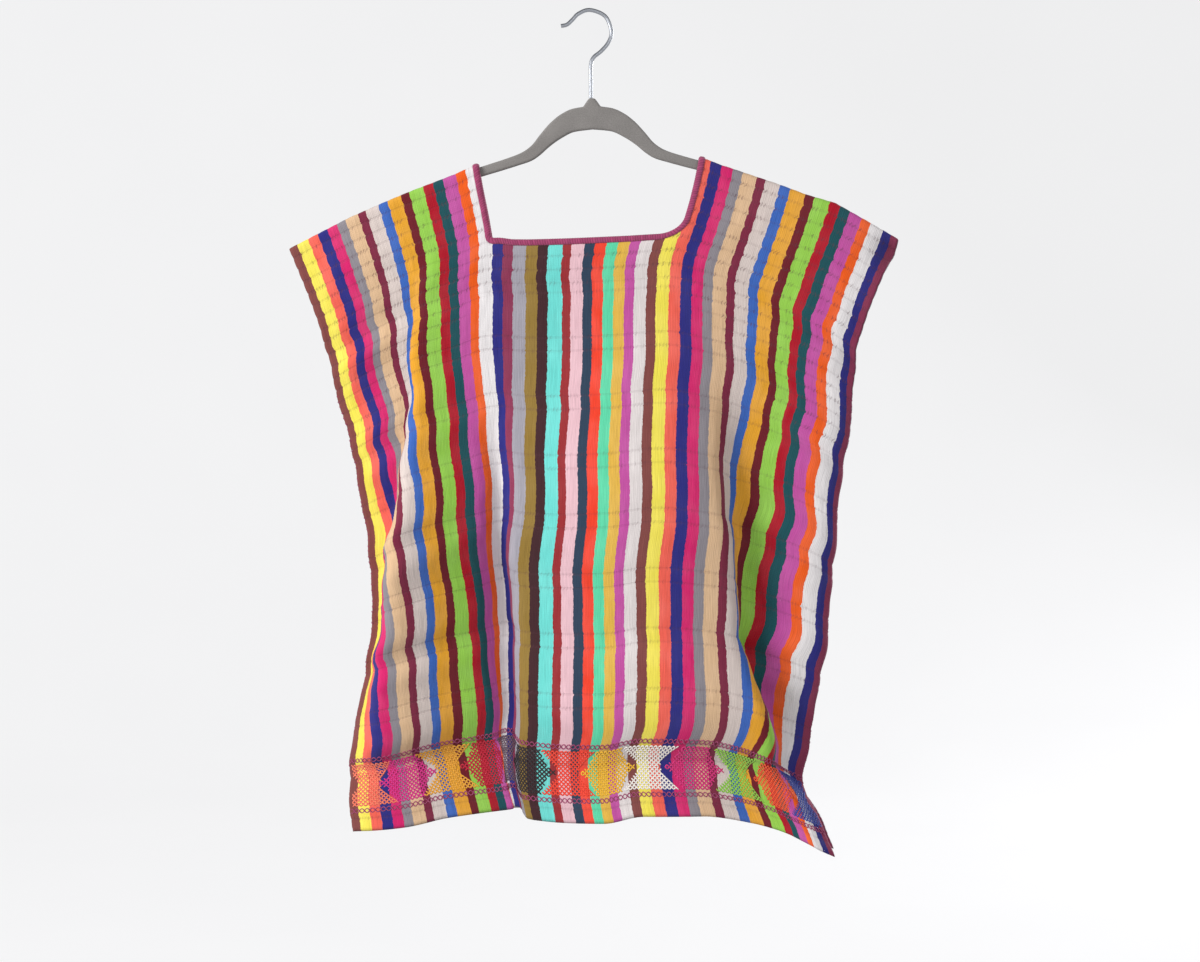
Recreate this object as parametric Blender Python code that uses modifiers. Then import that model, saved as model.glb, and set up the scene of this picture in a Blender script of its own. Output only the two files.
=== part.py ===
"""A huipil blouse on a slim hanger.

One loom-woven length is folded over the shoulders, so front and back are one cloth. Here they are
two solids, parted by a hair along the fold, so that each bends round the hollow on one side only. A
neck hole is cut across the fold and bound with a strip. The selvedges are joined down the sides,
and left open as armholes above and as short vents at the hem.

The cloth starts as a flat sheet with its neck hole cut, and is then draped: every point of the
flat sheet is carried to its place in the hanging garment. Flat places are given as a stripe number
across the sheet (0 to 52, left to right) and as millimetres along it from the shoulder fold
(positive down the front, negative down the back). Hanging places have X to the right as seen from
the front, Y to the back, Z up, and the origin under the crown of the hook.
"""
from collections import namedtuple
from math import cos, pi, radians, sin

import bmesh
import bpy
import numpy as np
from mathutils import Matrix, Vector

MM = 0.001

# ---------------------------------------------------------------- the flat cloth, in millimetres
STRIPES = 52
HALF_LENGTH = 655.0          # shoulder fold to hem
WALL = 1.5
SEAM_GAP = 0.3               # left between pieces that touch
NECK_LEFT, NECK_RIGHT = 18, 34   # stripes along which the neck hole's sides are cut
NECK_DROP = 78.0             # neck hole's depth below the fold, front and back alike
NECK_CORNER_LEFT = 4.0       # corner radii of the neck hole
NECK_CORNER_RIGHT = 16.0
ARMHOLE = 165.0              # length of selvedge left open below the fold
VENT = 66.0                  # length of selvedge left open above the hem

# The stripes are woven a little wider towards the right selvedge.
Spread = namedtuple("Spread", "stripe across")
STRIPE_SPREAD = [
    Spread(0, 0), Spread(10, 106), Spread(20, 222), Spread(33, 370),
    Spread(40, 454), Spread(50, 580), Spread(52, 600),
]

# ---------------------------------------------------------------- the neck binding
BINDING_REACH = 5.0          # over the cloth, from the edge of the hole
BINDING_LEG = 1.0            # thickness of the strip
CLOTH_TUCK = 1.6             # the cloth's cut edge lies this far inside the finished edge
BINDING_CHAMFER = 0.6

# ---------------------------------------------------------------- the hanger
ROLL = radians(1.2)          # it hangs a little higher on the right
PLATE = 5.5                  # thickness of the flocked body
PLATE_ROUND = 2.6            # radius along its edges
WIRE = 4.0                   # diameter of the hook

Edge = namedtuple("Edge", "x z")
HUB = [Edge(0, -86.4), Edge(4.5, -87.0), Edge(7.0, -90.0), Edge(8.8, -94.6)]
HANGER_TOP = [
    Edge(8.8, -94.6), Edge(20, -96.5), Edge(31, -101.5), Edge(42, -110), Edge(52, -121),
    Edge(61.5, -132.5), Edge(71, -139), Edge(85, -144.3), Edge(97, -148), Edge(108, -151.3),
    Edge(130, -158), Edge(155, -167), Edge(185, -177.8), Edge(212, -188.5),
]
HANGER_TIP = [
    Edge(212, -188.5), Edge(217, -191.2), Edge(218.6, -195), Edge(215, -198.6), Edge(208, -197.8),
]
HANGER_BOTTOM = [
    Edge(208, -197.8), Edge(185, -188.6), Edge(155, -177.6), Edge(130, -168.6), Edge(111, -162.3),
    Edge(92, -157), Edge(75, -152), Edge(61, -147.4), Edge(52, -141.5), Edge(44, -134.5),
    Edge(31, -125.6), Edge(18, -119.6), Edge(0, -117.5),
]
HOOK_ROUTE = [
    Edge(0.9, -86.1), Edge(0.9, -70), Edge(0.9, -53), Edge(3.6, -45.5), Edge(11, -39.3),
    Edge(18.4, -30.5), Edge(21.4, -19.5), Edge(15.2, -4.3), Edge(0, 2.0), Edge(-11.3, -1.6),
    Edge(-17.6, -7.8), Edge(-23, -12.6), Edge(-29, -14.0),
]

# ---------------------------------------------------------------- the hanging outline
# Where the shoulder fold leaves the hanger's arms it droops to these tips.
SHOULDER_TIP_LEFT = [Edge(-300, -238), Edge(-270, -222.5), Edge(-240, -207)]
SHOULDER_TIP_RIGHT = [Edge(245, -192.5), Edge(275, -209.5), Edge(307, -228)]
ARM_END = 212.0
NECK_TOP_LEFT, NECK_TOP_RIGHT = -112.0, 110.0    # x of the neck hole's sides on the hanger

Side = namedtuple("Side", "z x")
LEFT_SIDE = [
    Side(-238, -300), Side(-308, -272), Side(-388, -251), Side(-468, -233),
    Side(-588, -216), Side(-708, -233), Side(-778, -242), Side(-818, -235),
]
RIGHT_SIDE = [
    Side(-228, 307), Side(-262, 293), Side(-348, 265), Side(-388, 263), Side(-468, 251),
    Side(-548, 243), Side(-628, 236), Side(-708, 222), Side(-773, 213), Side(-798, 224),
    Side(-841, 242),
]
Level = namedtuple("Level", "stripe z")
SHOULDER_LEVEL = [
    Level(0, -238), Level(6, -205), Level(10, -187), Level(14, -171), Level(18, -156),
    Level(26, -152), Level(34, -149), Level(38.5, -161), Level(44, -181), Level(48, -201),
    Level(52, -228),
]
HEM_FRONT = [
    Level(0, -817), Level(5, -812), Level(9, -803), Level(15, -794), Level(18.5, -790),
    Level(21.5, -801), Level(29, -801), Level(33, -796), Level(38, -796), Level(42, -802),
    Level(47, -817), Level(52, -838),
]
HEM_BACK = [
    Level(0, -817), Level(8, -806), Level(20, -798), Level(31, -803), Level(35, -797),
    Level(44, -808), Level(52, -838),
]

# ---------------------------------------------------------------- the folds
# Across a panel, seen from above, the cloth turns towards the back (+) or the front (-) by so
# many degrees at each fold. A row gives the fold at one distance below the shoulder: the stripe
# that it is centred on, its half width in stripes and its turn.
Fold = namedtuple("Fold", "drop stripe half turn")
FRONT_FOLDS = {
    "left flap": [
        Fold(60, 4, 4, 0), Fold(130, 4.5, 4.5, 18), Fold(209, 4, 4, 32), Fold(285, 2, 2.4, 38),
        Fold(363, 0.4, 1.2, 30), Fold(448, 0.2, 1, 20), Fold(533, 0, 1, 0),
    ],
    "left crest": [
        Fold(60, 11, 2, 0), Fold(130, 10.2, 1.3, -58), Fold(167, 9.3, 1.8, -68),
        Fold(209, 8.7, 2, -76), Fold(247, 7.4, 2.3, -79), Fold(285, 6.2, 2.6, -81),
        Fold(363, 3.9, 3, -84), Fold(448, 2.8, 2.2, -80), Fold(533, 1.8, 1.8, -60),
        Fold(610, 1, 1.8, 0),
    ],
    "valley, near side": [
        Fold(200, 17, 1.5, 0), Fold(319, 17.2, 1.7, 48), Fold(401, 16.6, 2.1, 52),
        Fold(483, 16.3, 2.2, 58), Fold(565, 16.8, 1.8, 68), Fold(655, 17.2, 1.6, 66),
    ],
    "valley, far side": [
        Fold(180, 19, 1.2, 0), Fold(237, 18.8, 1, -50), Fold(319, 19, 1.2, -66),
        Fold(401, 19.3, 1.4, -70), Fold(483, 19.8, 1.6, -72), Fold(565, 20, 1.8, -72),
        Fold(655, 20.4, 1.7, -72),
    ],
    "right crest": [
        Fold(200, 39.5, 2, 0), Fold(268, 40, 1.7, 48), Fold(309, 40.2, 1.9, 62),
        Fold(386, 41.6, 2, 80), Fold(463, 42.9, 2.2, 85), Fold(500, 44.2, 2.5, 86),
        Fold(540, 46, 2.8, 78), Fold(575, 48.2, 2.9, 62), Fold(610, 50.6, 2.8, 36),
        Fold(655, 54, 2.6, 10),
    ],
    "right selvedge": [
        Fold(120, 52, 1, 0), Fold(200, 51.6, 1.2, 38), Fold(386, 51.6, 1.3, 44),
        Fold(463, 52, 1, 45), Fold(532, 52, 1, 20), Fold(566, 52, 1, 0),
    ],
}
BACK_FOLDS = {
    "left crest": [
        Fold(70, 10, 2, 0), Fold(150, 9, 1.6, 58), Fold(240, 7.6, 2.1, 74),
        Fold(360, 5.4, 2.7, 80), Fold(480, 4, 2.5, 78), Fold(590, 3, 2.2, 64),
        Fold(655, 2.6, 2, 46),
    ],
    "valley, near side": [
        Fold(190, 30, 1.5, 0), Fold(320, 30.2, 1.7, -46), Fold(480, 29.6, 2, -58),
        Fold(655, 29, 2, -66),
    ],
    "valley, far side": [
        Fold(190, 33.5, 1.4, 0), Fold(320, 33.2, 1.5, 52), Fold(480, 33, 1.8, 64),
        Fold(655, 32.8, 1.9, 70),
    ],
    "right crest": [
        Fold(90, 42, 2, 0), Fold(180, 43, 1.6, -52), Fold(270, 44.6, 2, -70),
        Fold(380, 46.2, 2.5, -80), Fold(480, 47.4, 2.6, -78), Fold(560, 48.4, 2.2, -60),
        Fold(655, 49, 2, -40),
    ],
}
# Broad slopes between the folds, as a share of SWAY_TURN.
Sway = namedtuple("Sway", "stripe share")
SWAY_TURN = 16.0
FULL_FOLD = 25.0             # a fold that turns this far leaves no slope of its own
FRONT_SWAY = [
    Sway(0, 0), Sway(6, 0.8), Sway(8, 1.6), Sway(12, 1.6), Sway(15, 1.2), Sway(18, 0),
    Sway(21, -0.6), Sway(24, -1), Sway(28, -0.6), Sway(32, 0), Sway(36, 0.6), Sway(40, 1),
    Sway(44, 0), Sway(46, -0.8), Sway(49, -0.4), Sway(52, 0.8),
]
BACK_SWAY = [
    Sway(0, 0.6), Sway(4, 0.4), Sway(10, -0.4), Sway(16, -1.2), Sway(22, 0.4), Sway(27, 1.2),
    Sway(31, 0), Sway(36, -0.8), Sway(42, 0.6), Sway(47, 0.5), Sway(52, -0.8),
]
SWAY_DROP = 200.0            # the slopes are full from here down
DEPTH_SHARE = 0.8            # part of the turned depth that stays once the cloth has settled
PULL_DROP = 150.0            # the pull of the drawn-open neck hole has died out here
MIDDLE_SPAN = 75.0           # how far in from a selvedge the garment's middle follows it
SEAM_SPAN = 14.0             # how far in from a selvedge the two panels lie close together
SEAM_EASE = 0.15             # from the middle to each panel's inner face, along the side seams
PANEL_EASE = 2.4             # how much further apart the panels' valleys lie, away from the seams
SEAM_SOFTNESS = 0.2          # how gently a panel comes to rest on the middle, at the seams
PANEL_SOFTNESS = 5.0         # and away from them
SETTLE_DROP = 40.0           # below the shoulder fold's own round, where the panels part
LIFT_SPAN = 16.0             # over which the cloth comes down from the binding's thickness
BINDING_PLAY = 0.1           # extra room for the binding on the hanger

# Depth of the two selvedges down the garment, and how far each panel's stands from it where the
# sides are open, at the armholes and the hem vents.
Selvedge = namedtuple("Selvedge", "drop left right left_open right_open")
SELVEDGES = [
    Selvedge(0, 0, 0, 0, 0), Selvedge(80, 0, 0, 4, 4), Selvedge(ARMHOLE, -2, 0, 0, 0),
    Selvedge(360, -14, -4, 0, 0), Selvedge(HALF_LENGTH - VENT, -6, -5, 0, 0),
    Selvedge(HALF_LENGTH - VENT / 2, -4, -8, 4.5, 10), Selvedge(HALF_LENGTH, -3, -13, 9, 19),
]

# ---------------------------------------------------------------- mesh stations
COLUMNS_SLEEVE, COLUMNS_NECK = 18, 11
EDGE_COLUMN = 6.0                    # width of the column along each selvedge
UNDER_BINDING = 6.0                  # width of the column or row that the binding covers
ARC_STEP = pi / 6                    # over the shoulder fold
ROWS_BELOW_FOLD = [13.0, 25.0, 40.0, 52.0, 65.0]   # then the neck's edge
ROW_STEP = 27.0                      # from the neck's edge down, on average
COLUMN_GRADE = 0.32                  # columns are closer by this share at the selvedges
ROW_GRADE = 0.15                     # and rows at the hem
FINE = 521                           # samples across a row while its folds are worked out


def smooth_table(where, rows, column):
    """Read a column of a table between its rows, on a smooth curve that never overshoots."""
    keys = np.array([row[0] for row in rows], float)
    values = np.array([getattr(row, column) for row in rows], float)
    if keys[0] > keys[-1]:
        keys, values = keys[::-1], values[::-1]
    steps = np.diff(keys)
    rates = np.diff(values) / steps
    slopes = np.zeros_like(values)
    slopes[0], slopes[-1] = rates[0], rates[-1]
    for i in range(1, len(keys) - 1):
        if rates[i - 1] * rates[i] > 0:
            before = 2 * steps[i] + steps[i - 1]
            after = steps[i] + 2 * steps[i - 1]
            slopes[i] = (before + after) / (before / rates[i - 1] + after / rates[i])
    where = np.clip(np.asarray(where, float), keys[0], keys[-1])
    i = np.clip(np.searchsorted(keys, where, side="right") - 1, 0, len(keys) - 2)
    t = (where - keys[i]) / steps[i]
    start = (2 * t**3 - 3 * t**2 + 1) * values[i] + (t**3 - 2 * t**2 + t) * steps[i] * slopes[i]
    end = (-2 * t**3 + 3 * t**2) * values[i + 1] + (t**3 - t**2) * steps[i] * slopes[i + 1]
    return start + end


def smooth_step(t):
    t = np.clip(t, 0.0, 1.0)
    return t * t * (3 - 2 * t)


def running_sum(rate, where):
    return np.concatenate([[0], np.cumsum((rate[1:] + rate[:-1]) / 2 * np.diff(where))])


FINE_STRIPES = np.linspace(0, STRIPES, FINE)
FINE_ACROSS = smooth_table(FINE_STRIPES, STRIPE_SPREAD, "across")


def across(stripe):
    """Millimetres from the left selvedge of the flat cloth."""
    return np.interp(stripe, FINE_STRIPES, FINE_ACROSS)


# ================================================================ hanger
def rolled(edge):
    """A point of the hanger's own upright outline, turned about the hook's crown."""
    return Edge(edge.x * cos(ROLL) - edge.z * sin(ROLL), edge.x * sin(ROLL) + edge.z * cos(ROLL))


def mirrored(edges):
    return [Edge(-edge.x, edge.z) for edge in reversed(edges)]


def arm_line(first, last, side, count=40):
    """The top edge of one arm between two distances from the middle, rolled into place."""
    line = []
    for x in np.linspace(first, last, count):
        line.append(rolled(Edge(side * x, float(smooth_table(x, HANGER_TOP, "z")))))
    return line


def arm_place(x):
    """The place on the hanger's top edge at this x."""
    side = 1 if x > 0 else -1
    line = arm_line(90, ARM_END, side)
    return Edge(x, float(np.interp(side * x, [side * e.x for e in line], [e.z for e in line])))


def cloth_radius(stripe):
    """Radius of the shoulder fold at mid-wall. The binding lifts the cloth beside the neck."""
    plain = PLATE / 2 + SEAM_GAP + WALL / 2
    lift = BINDING_LEG + SEAM_GAP + BINDING_PLAY
    from_left = np.abs(across(stripe) - across(NECK_LEFT))
    from_right = np.abs(across(stripe) - across(NECK_RIGHT))
    past_binding = np.minimum(from_left, from_right) - BINDING_REACH - 2
    return plain + lift * (1 - smooth_step(past_binding / LIFT_SPAN))


def shoulder_fold():
    """The draped shoulder fold: x and z at each fine stripe, resting on the hanger's arms."""
    left_arm = [edge for edge in reversed(arm_line(90, ARM_END, -1)) if edge.x < NECK_TOP_LEFT]
    right_arm = [edge for edge in arm_line(90, ARM_END, 1) if edge.x > NECK_TOP_RIGHT]
    left = SHOULDER_TIP_LEFT + left_arm + [arm_place(NECK_TOP_LEFT)]
    right = [arm_place(NECK_TOP_RIGHT)] + right_arm + SHOULDER_TIP_RIGHT
    fold_x = np.zeros(FINE)
    fold_z = np.zeros(FINE)
    spans = ((left, 0, NECK_LEFT), (right, NECK_RIGHT, STRIPES))
    for points, first, last in spans:
        xs = np.array([p.x for p in points])
        zs = np.array([p.z for p in points])
        run = np.concatenate([[0], np.cumsum(np.hypot(np.diff(xs), np.diff(zs)))])
        here = (FINE_STRIPES >= first) & (FINE_STRIPES <= last)
        share = (FINE_ACROSS[here] - across(first)) / (across(last) - across(first))
        fold_x[here] = np.interp(share * run[-1], run, xs)
        fold_z[here] = np.interp(share * run[-1], run, zs)
    neck = (FINE_STRIPES > NECK_LEFT) & (FINE_STRIPES < NECK_RIGHT)
    ends = (NECK_LEFT, NECK_RIGHT)
    fold_x[neck] = np.interp(FINE_STRIPES[neck], ends, (NECK_TOP_LEFT, NECK_TOP_RIGHT))
    fold_z[neck] = np.interp(FINE_STRIPES[neck], ends, (left[-1].z, right[0].z))
    return fold_x, fold_z + cloth_radius(FINE_STRIPES) - PLATE / 2


# ================================================================ draping
class Panel:
    """One side of the folded cloth: its own hem, folds and slopes."""

    def __init__(self, facing, hem, folds, sway):
        self.facing = facing            # -1 for the front, +1 for the back
        self.hem = smooth_table(FINE_STRIPES, hem, "z")
        self.folds = folds
        self.sway = smooth_table(FINE_STRIPES, sway, "share")
        self.rows = {}

    def row(self, drop):
        """X, Y and Z of the fine stripes at one distance below the shoulder fold."""
        if drop not in self.rows:
            self.rows[drop] = self.drape_row(drop)
        return self.rows[drop]

    def turn(self, drop):
        """The cloth's direction across the row, in radians from +X towards the back."""
        turn = np.zeros(FINE)
        free = np.ones(FINE)
        for rows in self.folds.values():
            stripe = float(smooth_table(drop, rows, "stripe"))
            half = float(smooth_table(drop, rows, "half"))
            degrees = float(smooth_table(drop, rows, "turn"))
            reach = np.exp(-(((FINE_STRIPES - stripe) / half) ** 4))
            turn += degrees * reach
            free *= 1 - reach * min(1.0, abs(degrees) / FULL_FOLD)
        sway = SWAY_TURN * min(1.0, drop / SWAY_DROP)
        return np.radians(turn + sway * free * self.sway)

    def selvedge(self, drop, side):
        """Depth of this panel's selvedge on one side."""
        middle = float(smooth_table(drop, SELVEDGES, side))
        return middle + self.facing * float(smooth_table(drop, SELVEDGES, side + "_open"))

    def drape_row(self, drop):
        """Round the shoulder fold, then straight down to the hem, with the row's own folds."""
        fold_x, fold_z = FOLD_LINE
        smoothed = smooth_step((drop - SETTLE_DROP) / (PULL_DROP - SETTLE_DROP))
        top = fold_z + (SMOOTH_TOP - fold_z) * smoothed
        radius = cloth_radius(FINE_STRIPES)
        quarter = radius * pi / 2
        bend = np.minimum(drop / radius, pi / 2)
        hang = np.maximum(drop - quarter, 0) / (HALF_LENGTH - quarter)
        crown = top - radius * (1 - np.cos(bend))
        z = crown + (self.hem - top + radius) * hang

        turn = self.turn(drop)
        x = weft_x(z, turn) + (fold_x - NATURAL_FOLD_X) * smooth_step(1 - drop / PULL_DROP)
        y = running_sum(weft_level(z) * np.sin(turn), FINE_ACROSS) * DEPTH_SHARE

        start = self.selvedge(drop, "left")
        end = self.selvedge(drop, "right")
        y += start - (y[-1] + start - end) * FINE_ACROSS / FINE_ACROSS[-1]
        return x, self.settle(x, y, drop, start, end, bend), z

    def settle(self, x, y, drop, start, end, bend):
        """Keep the panel on its own side of the garment's middle surface."""
        from_left, from_right = x - x[0], x[-1] - x
        middle = start * np.exp(-((from_left / MIDDLE_SPAN) ** 2))
        middle += end * np.exp(-((from_right / MIDDLE_SPAN) ** 2))
        inner = 1 - np.exp(-((from_left / SEAM_SPAN) ** 2))
        inner *= 1 - np.exp(-((from_right / SEAM_SPAN) ** 2))
        softness = (PANEL_SOFTNESS - SEAM_SOFTNESS) * inner * min(1.0, drop / (3 * SETTLE_DROP))
        softness += SEAM_SOFTNESS
        apart = cloth_radius(FINE_STRIPES)
        closed = WALL / 2 + SEAM_EASE + PANEL_EASE * inner
        closing = smooth_step((drop - 4 * PLATE_ROUND) / (ARMHOLE - 4 * PLATE_ROUND))
        clear = closed + (apart - closed) * (1 - closing)
        out = np.logaddexp(0, self.facing * (y - middle) / softness)
        ramp = smooth_step(drop / SETTLE_DROP)
        return middle * ramp + self.facing * (clear * np.sin(bend) + softness * out * ramp)


def weft_level(z):
    """The share of the cloth's width that a sloping weft line still spans."""
    return np.sqrt(np.maximum(1 - np.gradient(z, FINE_ACROSS) ** 2, 0.05))


def weft_x(z, turn):
    """X along a weft line, from its slope and turns, fitted between the two selvedges."""
    x = running_sum(weft_level(z) * np.cos(turn), FINE_ACROSS)
    first = float(smooth_table(z[0], LEFT_SIDE, "x"))
    last = float(smooth_table(z[-1], RIGHT_SIDE, "x"))
    return first + x * (last - first) / x[-1]


FOLD_LINE = shoulder_fold()
SMOOTH_TOP = smooth_table(FINE_STRIPES, SHOULDER_LEVEL, "z")
# Where the stripes would lie on the fold if the neck hole were not drawn open.
NATURAL_FOLD_X = weft_x(FOLD_LINE[1], np.zeros(FINE))
FRONT = Panel(-1, HEM_FRONT, FRONT_FOLDS, FRONT_SWAY)
BACK = Panel(1, HEM_BACK, BACK_FOLDS, BACK_SWAY)


def draped(stripe, along):
    """A point of the flat cloth, in its place in the hanging garment, in millimetres."""
    panel = FRONT if along >= 0 else BACK
    x, y, z = panel.row(round(abs(along), 3))
    return Vector([float(np.interp(stripe, FINE_STRIPES, values)) for values in (x, y, z)])


def draped_flat(across_mm, along):
    return draped(float(np.interp(across_mm, FINE_ACROSS, FINE_STRIPES)), along)


class Sheet:
    """The draped cloth between its mesh stations, so that what lies on it lies flat on it."""

    def __init__(self, columns, rows):
        self.columns, self.rows = columns, rows
        self.places = {}

    def station(self, i, j):
        if (i, j) not in self.places:
            self.places[i, j] = draped_flat(self.columns[i], self.rows[j])
        return self.places[i, j]

    def place(self, across_mm, along):
        """A point on the sheet, or just past the neck's edge, on the same slope as the cloth there."""
        sides = (self.columns[COLUMNS_SLEEVE], self.columns[COLUMNS_SLEEVE + COLUMNS_NECK])
        past_side = min(across_mm - sides[0], sides[1] - across_mm)
        past_bottom = NECK_DROP + CLOTH_TUCK - abs(along)
        keep_across, keep_along = across_mm, along
        if past_side > 0 and past_bottom > 0:
            if past_side < past_bottom:
                keep_across = sides[0] - 1 if across_mm < sum(sides) / 2 else sides[1] + 1
            else:
                keep_along = (NECK_DROP + CLOTH_TUCK + 1) * (1 if along > 0 else -1)
        i, u = self.cell(self.columns, across_mm, keep_across)
        j, v = self.cell(self.rows, along, keep_along)
        near = self.station(i, j).lerp(self.station(i + 1, j), u)
        far = self.station(i, j + 1).lerp(self.station(i + 1, j + 1), u)
        return near.lerp(far, v)

    @staticmethod
    def cell(stations, where, keep):
        """The pair of stations round keep, and how far along it the place lies."""
        i = int(np.clip(np.searchsorted(stations, keep, side="right") - 1, 0, len(stations) - 2))
        return i, (where - stations[i]) / (stations[i + 1] - stations[i])

    def outward(self, across_mm, along):
        """The cloth's outer normal: away from the wearer, and up on the shoulder fold."""
        step = 1.0
        warp = self.place(across_mm, along + step) - self.place(across_mm, along - step)
        weft = self.place(across_mm + step, along) - self.place(across_mm - step, along)
        return warp.cross(weft).normalized()


# ================================================================ objects
def clear_scene():
    for thing in list(bpy.data.objects):
        bpy.data.objects.remove(thing)


def material(name, colour, roughness, metallic=0.0):
    made = bpy.data.materials.new(name)
    made.use_nodes = True
    shader = made.node_tree.nodes["Principled BSDF"]
    shader.inputs["Base Color"].default_value = (*colour, 1)
    shader.inputs["Roughness"].default_value = roughness
    shader.inputs["Metallic"].default_value = metallic
    return made


def finish(thing, collection, finish_material):
    for old in list(thing.users_collection):
        old.objects.unlink(thing)
    collection.objects.link(thing)
    thing.data.materials.clear()
    thing.data.materials.append(finish_material)
    return thing


def graded(first, last, count, grade):
    """Stations from first to last, closer together at first by the share given as grade."""
    t = np.linspace(0, 1, count)
    return [float(place) for place in first + (last - first) * ((1 - grade) * t + grade * t**2)]


def stripe_stations():
    """Columns of the sheet, with one on each side of the neck hole."""
    width = float(across(STRIPES))
    neck_left = float(across(NECK_LEFT)) - CLOTH_TUCK
    neck_right = float(across(NECK_RIGHT)) + CLOTH_TUCK
    left = graded(EDGE_COLUMN, neck_left - UNDER_BINDING, COLUMNS_SLEEVE - 1, COLUMN_GRADE)
    middle = graded(neck_left, neck_right, COLUMNS_NECK + 1, 0.0)
    right = graded(width - EDGE_COLUMN, neck_right + UNDER_BINDING, COLUMNS_SLEEVE - 1, COLUMN_GRADE)
    return [0.0] + left + middle + right[::-1] + [width]


def along_stations():
    """Rows of the whole length, from the back hem over the fold to the front hem."""
    radius = float(cloth_radius(0))
    neck = NECK_DROP + CLOTH_TUCK
    below = neck + UNDER_BINDING
    count = round((HALF_LENGTH - below) / ROW_STEP)
    down = [radius * ARC_STEP * k for k in (1, 2, 3)] + ROWS_BELOW_FOLD
    down += [neck] + graded(HALF_LENGTH, below, count + 1, ROW_GRADE)[::-1]
    return [-d for d in reversed(down)] + [0.0] + down


def neck_corners(columns):
    """Column and row of the neck hole's corners, each with the shift that rounds it."""
    neck = NECK_DROP + CLOTH_TUCK
    left, right = COLUMNS_SLEEVE, COLUMNS_SLEEVE + COLUMNS_NECK
    ease_left = (NECK_CORNER_LEFT + CLOTH_TUCK) * (1 - cos(pi / 4))
    ease_right = (NECK_CORNER_RIGHT + CLOTH_TUCK) * (1 - cos(pi / 4))
    return {
        (left, -neck): (ease_left, ease_left), (left, neck): (ease_left, -ease_left),
        (right, -neck): (-ease_right, ease_right), (right, neck): (-ease_right, -ease_right),
    }


def cut_sheet(columns, rows):
    """The flat sheet at these stations, with its part of the neck hole cut out."""
    neck = NECK_DROP + CLOTH_TUCK
    hole_across = (columns[COLUMNS_SLEEVE], columns[COLUMNS_SLEEVE + COLUMNS_NECK])
    corners = neck_corners(columns)
    sheet = bmesh.new()
    bmesh.ops.create_grid(sheet, x_segments=len(columns) - 1, y_segments=len(rows) - 1, size=1.0)
    for point in sheet.verts:
        i = round((point.co.x + 1) / 2 * (len(columns) - 1))
        j = round((point.co.y + 1) / 2 * (len(rows) - 1))
        ease = corners.get((i, rows[j]), (0.0, 0.0))
        point.co = (columns[i] + ease[0], rows[j] + ease[1], 0)
    in_hole = []
    for face in sheet.faces:
        middle = face.calc_center_median()
        if hole_across[0] < middle.x < hole_across[1] and abs(middle.y) < neck:
            in_hole.append(face)
    bmesh.ops.delete(sheet, geom=in_hole, context="FACES")
    return sheet


def make_cloth(name, rows, collection):
    """Cut one side of the flat sheet, drape it, and give it its wall."""
    sheet = cut_sheet(stripe_stations(), rows)
    for point in sheet.verts:
        point.co = draped_flat(point.co.x, point.co.y) * MM
    bmesh.ops.reverse_faces(sheet, faces=sheet.faces)
    mesh = bpy.data.meshes.new(name)
    sheet.to_mesh(mesh)
    sheet.free()
    mesh.shade_smooth()
    cloth = bpy.data.objects.new(name, mesh)
    wall = cloth.modifiers.new("wall", "SOLIDIFY")
    wall.thickness = WALL * MM
    wall.offset = 0.0
    return finish(cloth, collection, material("striped cotton", (0.55, 0.12, 0.22), 0.9))


def binding_path():
    """Stations round the neck hole: flat place, and the flat direction into the cloth."""
    left, right = float(across(NECK_LEFT)), float(across(NECK_RIGHT))
    stations = []
    corners = (
        (left, NECK_DROP, NECK_CORNER_LEFT, 180, 90),
        (right, NECK_DROP, NECK_CORNER_RIGHT, 90, 0),
        (right, -NECK_DROP, NECK_CORNER_RIGHT, 0, -90),
        (left, -NECK_DROP, NECK_CORNER_LEFT, -90, -180),
    )
    for x, y, radius, start, stop in corners:
        centre_x = x + radius * (1 if x == left else -1)
        centre_y = y - radius * (1 if y > 0 else -1)
        count = 3 if radius == NECK_CORNER_LEFT else 5
        for degrees in np.linspace(start, stop, count):
            facing = (cos(radians(degrees)), sin(radians(degrees)))
            corner_end = (centre_x + radius * facing[0], centre_y + radius * facing[1])
            stations.append((*corner_end, facing))
        stations += straight_stations(*corner_end, facing)
    return stations


def straight_stations(x, y, facing):
    """Stations along the straight side that starts at x, y, between two corners."""
    if abs(facing[1]) > 0.5:
        first = float(across(NECK_LEFT)) + NECK_CORNER_LEFT + UNDER_BINDING
        last = float(across(NECK_RIGHT)) - NECK_CORNER_RIGHT - UNDER_BINDING
        columns = [a for a in stripe_stations() if first < a < last]
        if facing[1] < 0:
            columns.reverse()
        return [(a, y, facing) for a in columns]
    down = [d for d in along_stations() if abs(d) < abs(y) - UNDER_BINDING]
    if y > 0:
        down.reverse()
    return [(x, d, facing) for d in down]


def binding_section():
    """The strip's section round the cloth's edge: (into the cloth, out from its middle)."""
    slot = WALL / 2 + SEAM_GAP
    outer = slot + BINDING_LEG
    half = [
        (BINDING_REACH, slot), (BINDING_REACH, outer - BINDING_CHAMFER / 2),
        (BINDING_REACH - BINDING_CHAMFER, outer), (-BINDING_CHAMFER, outer), (-1.3, slot + 0.1),
    ]
    other = [(into, -out) for into, out in reversed(half)]
    return half + other + [(-SEAM_GAP, -slot), (-SEAM_GAP, slot)]


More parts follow.
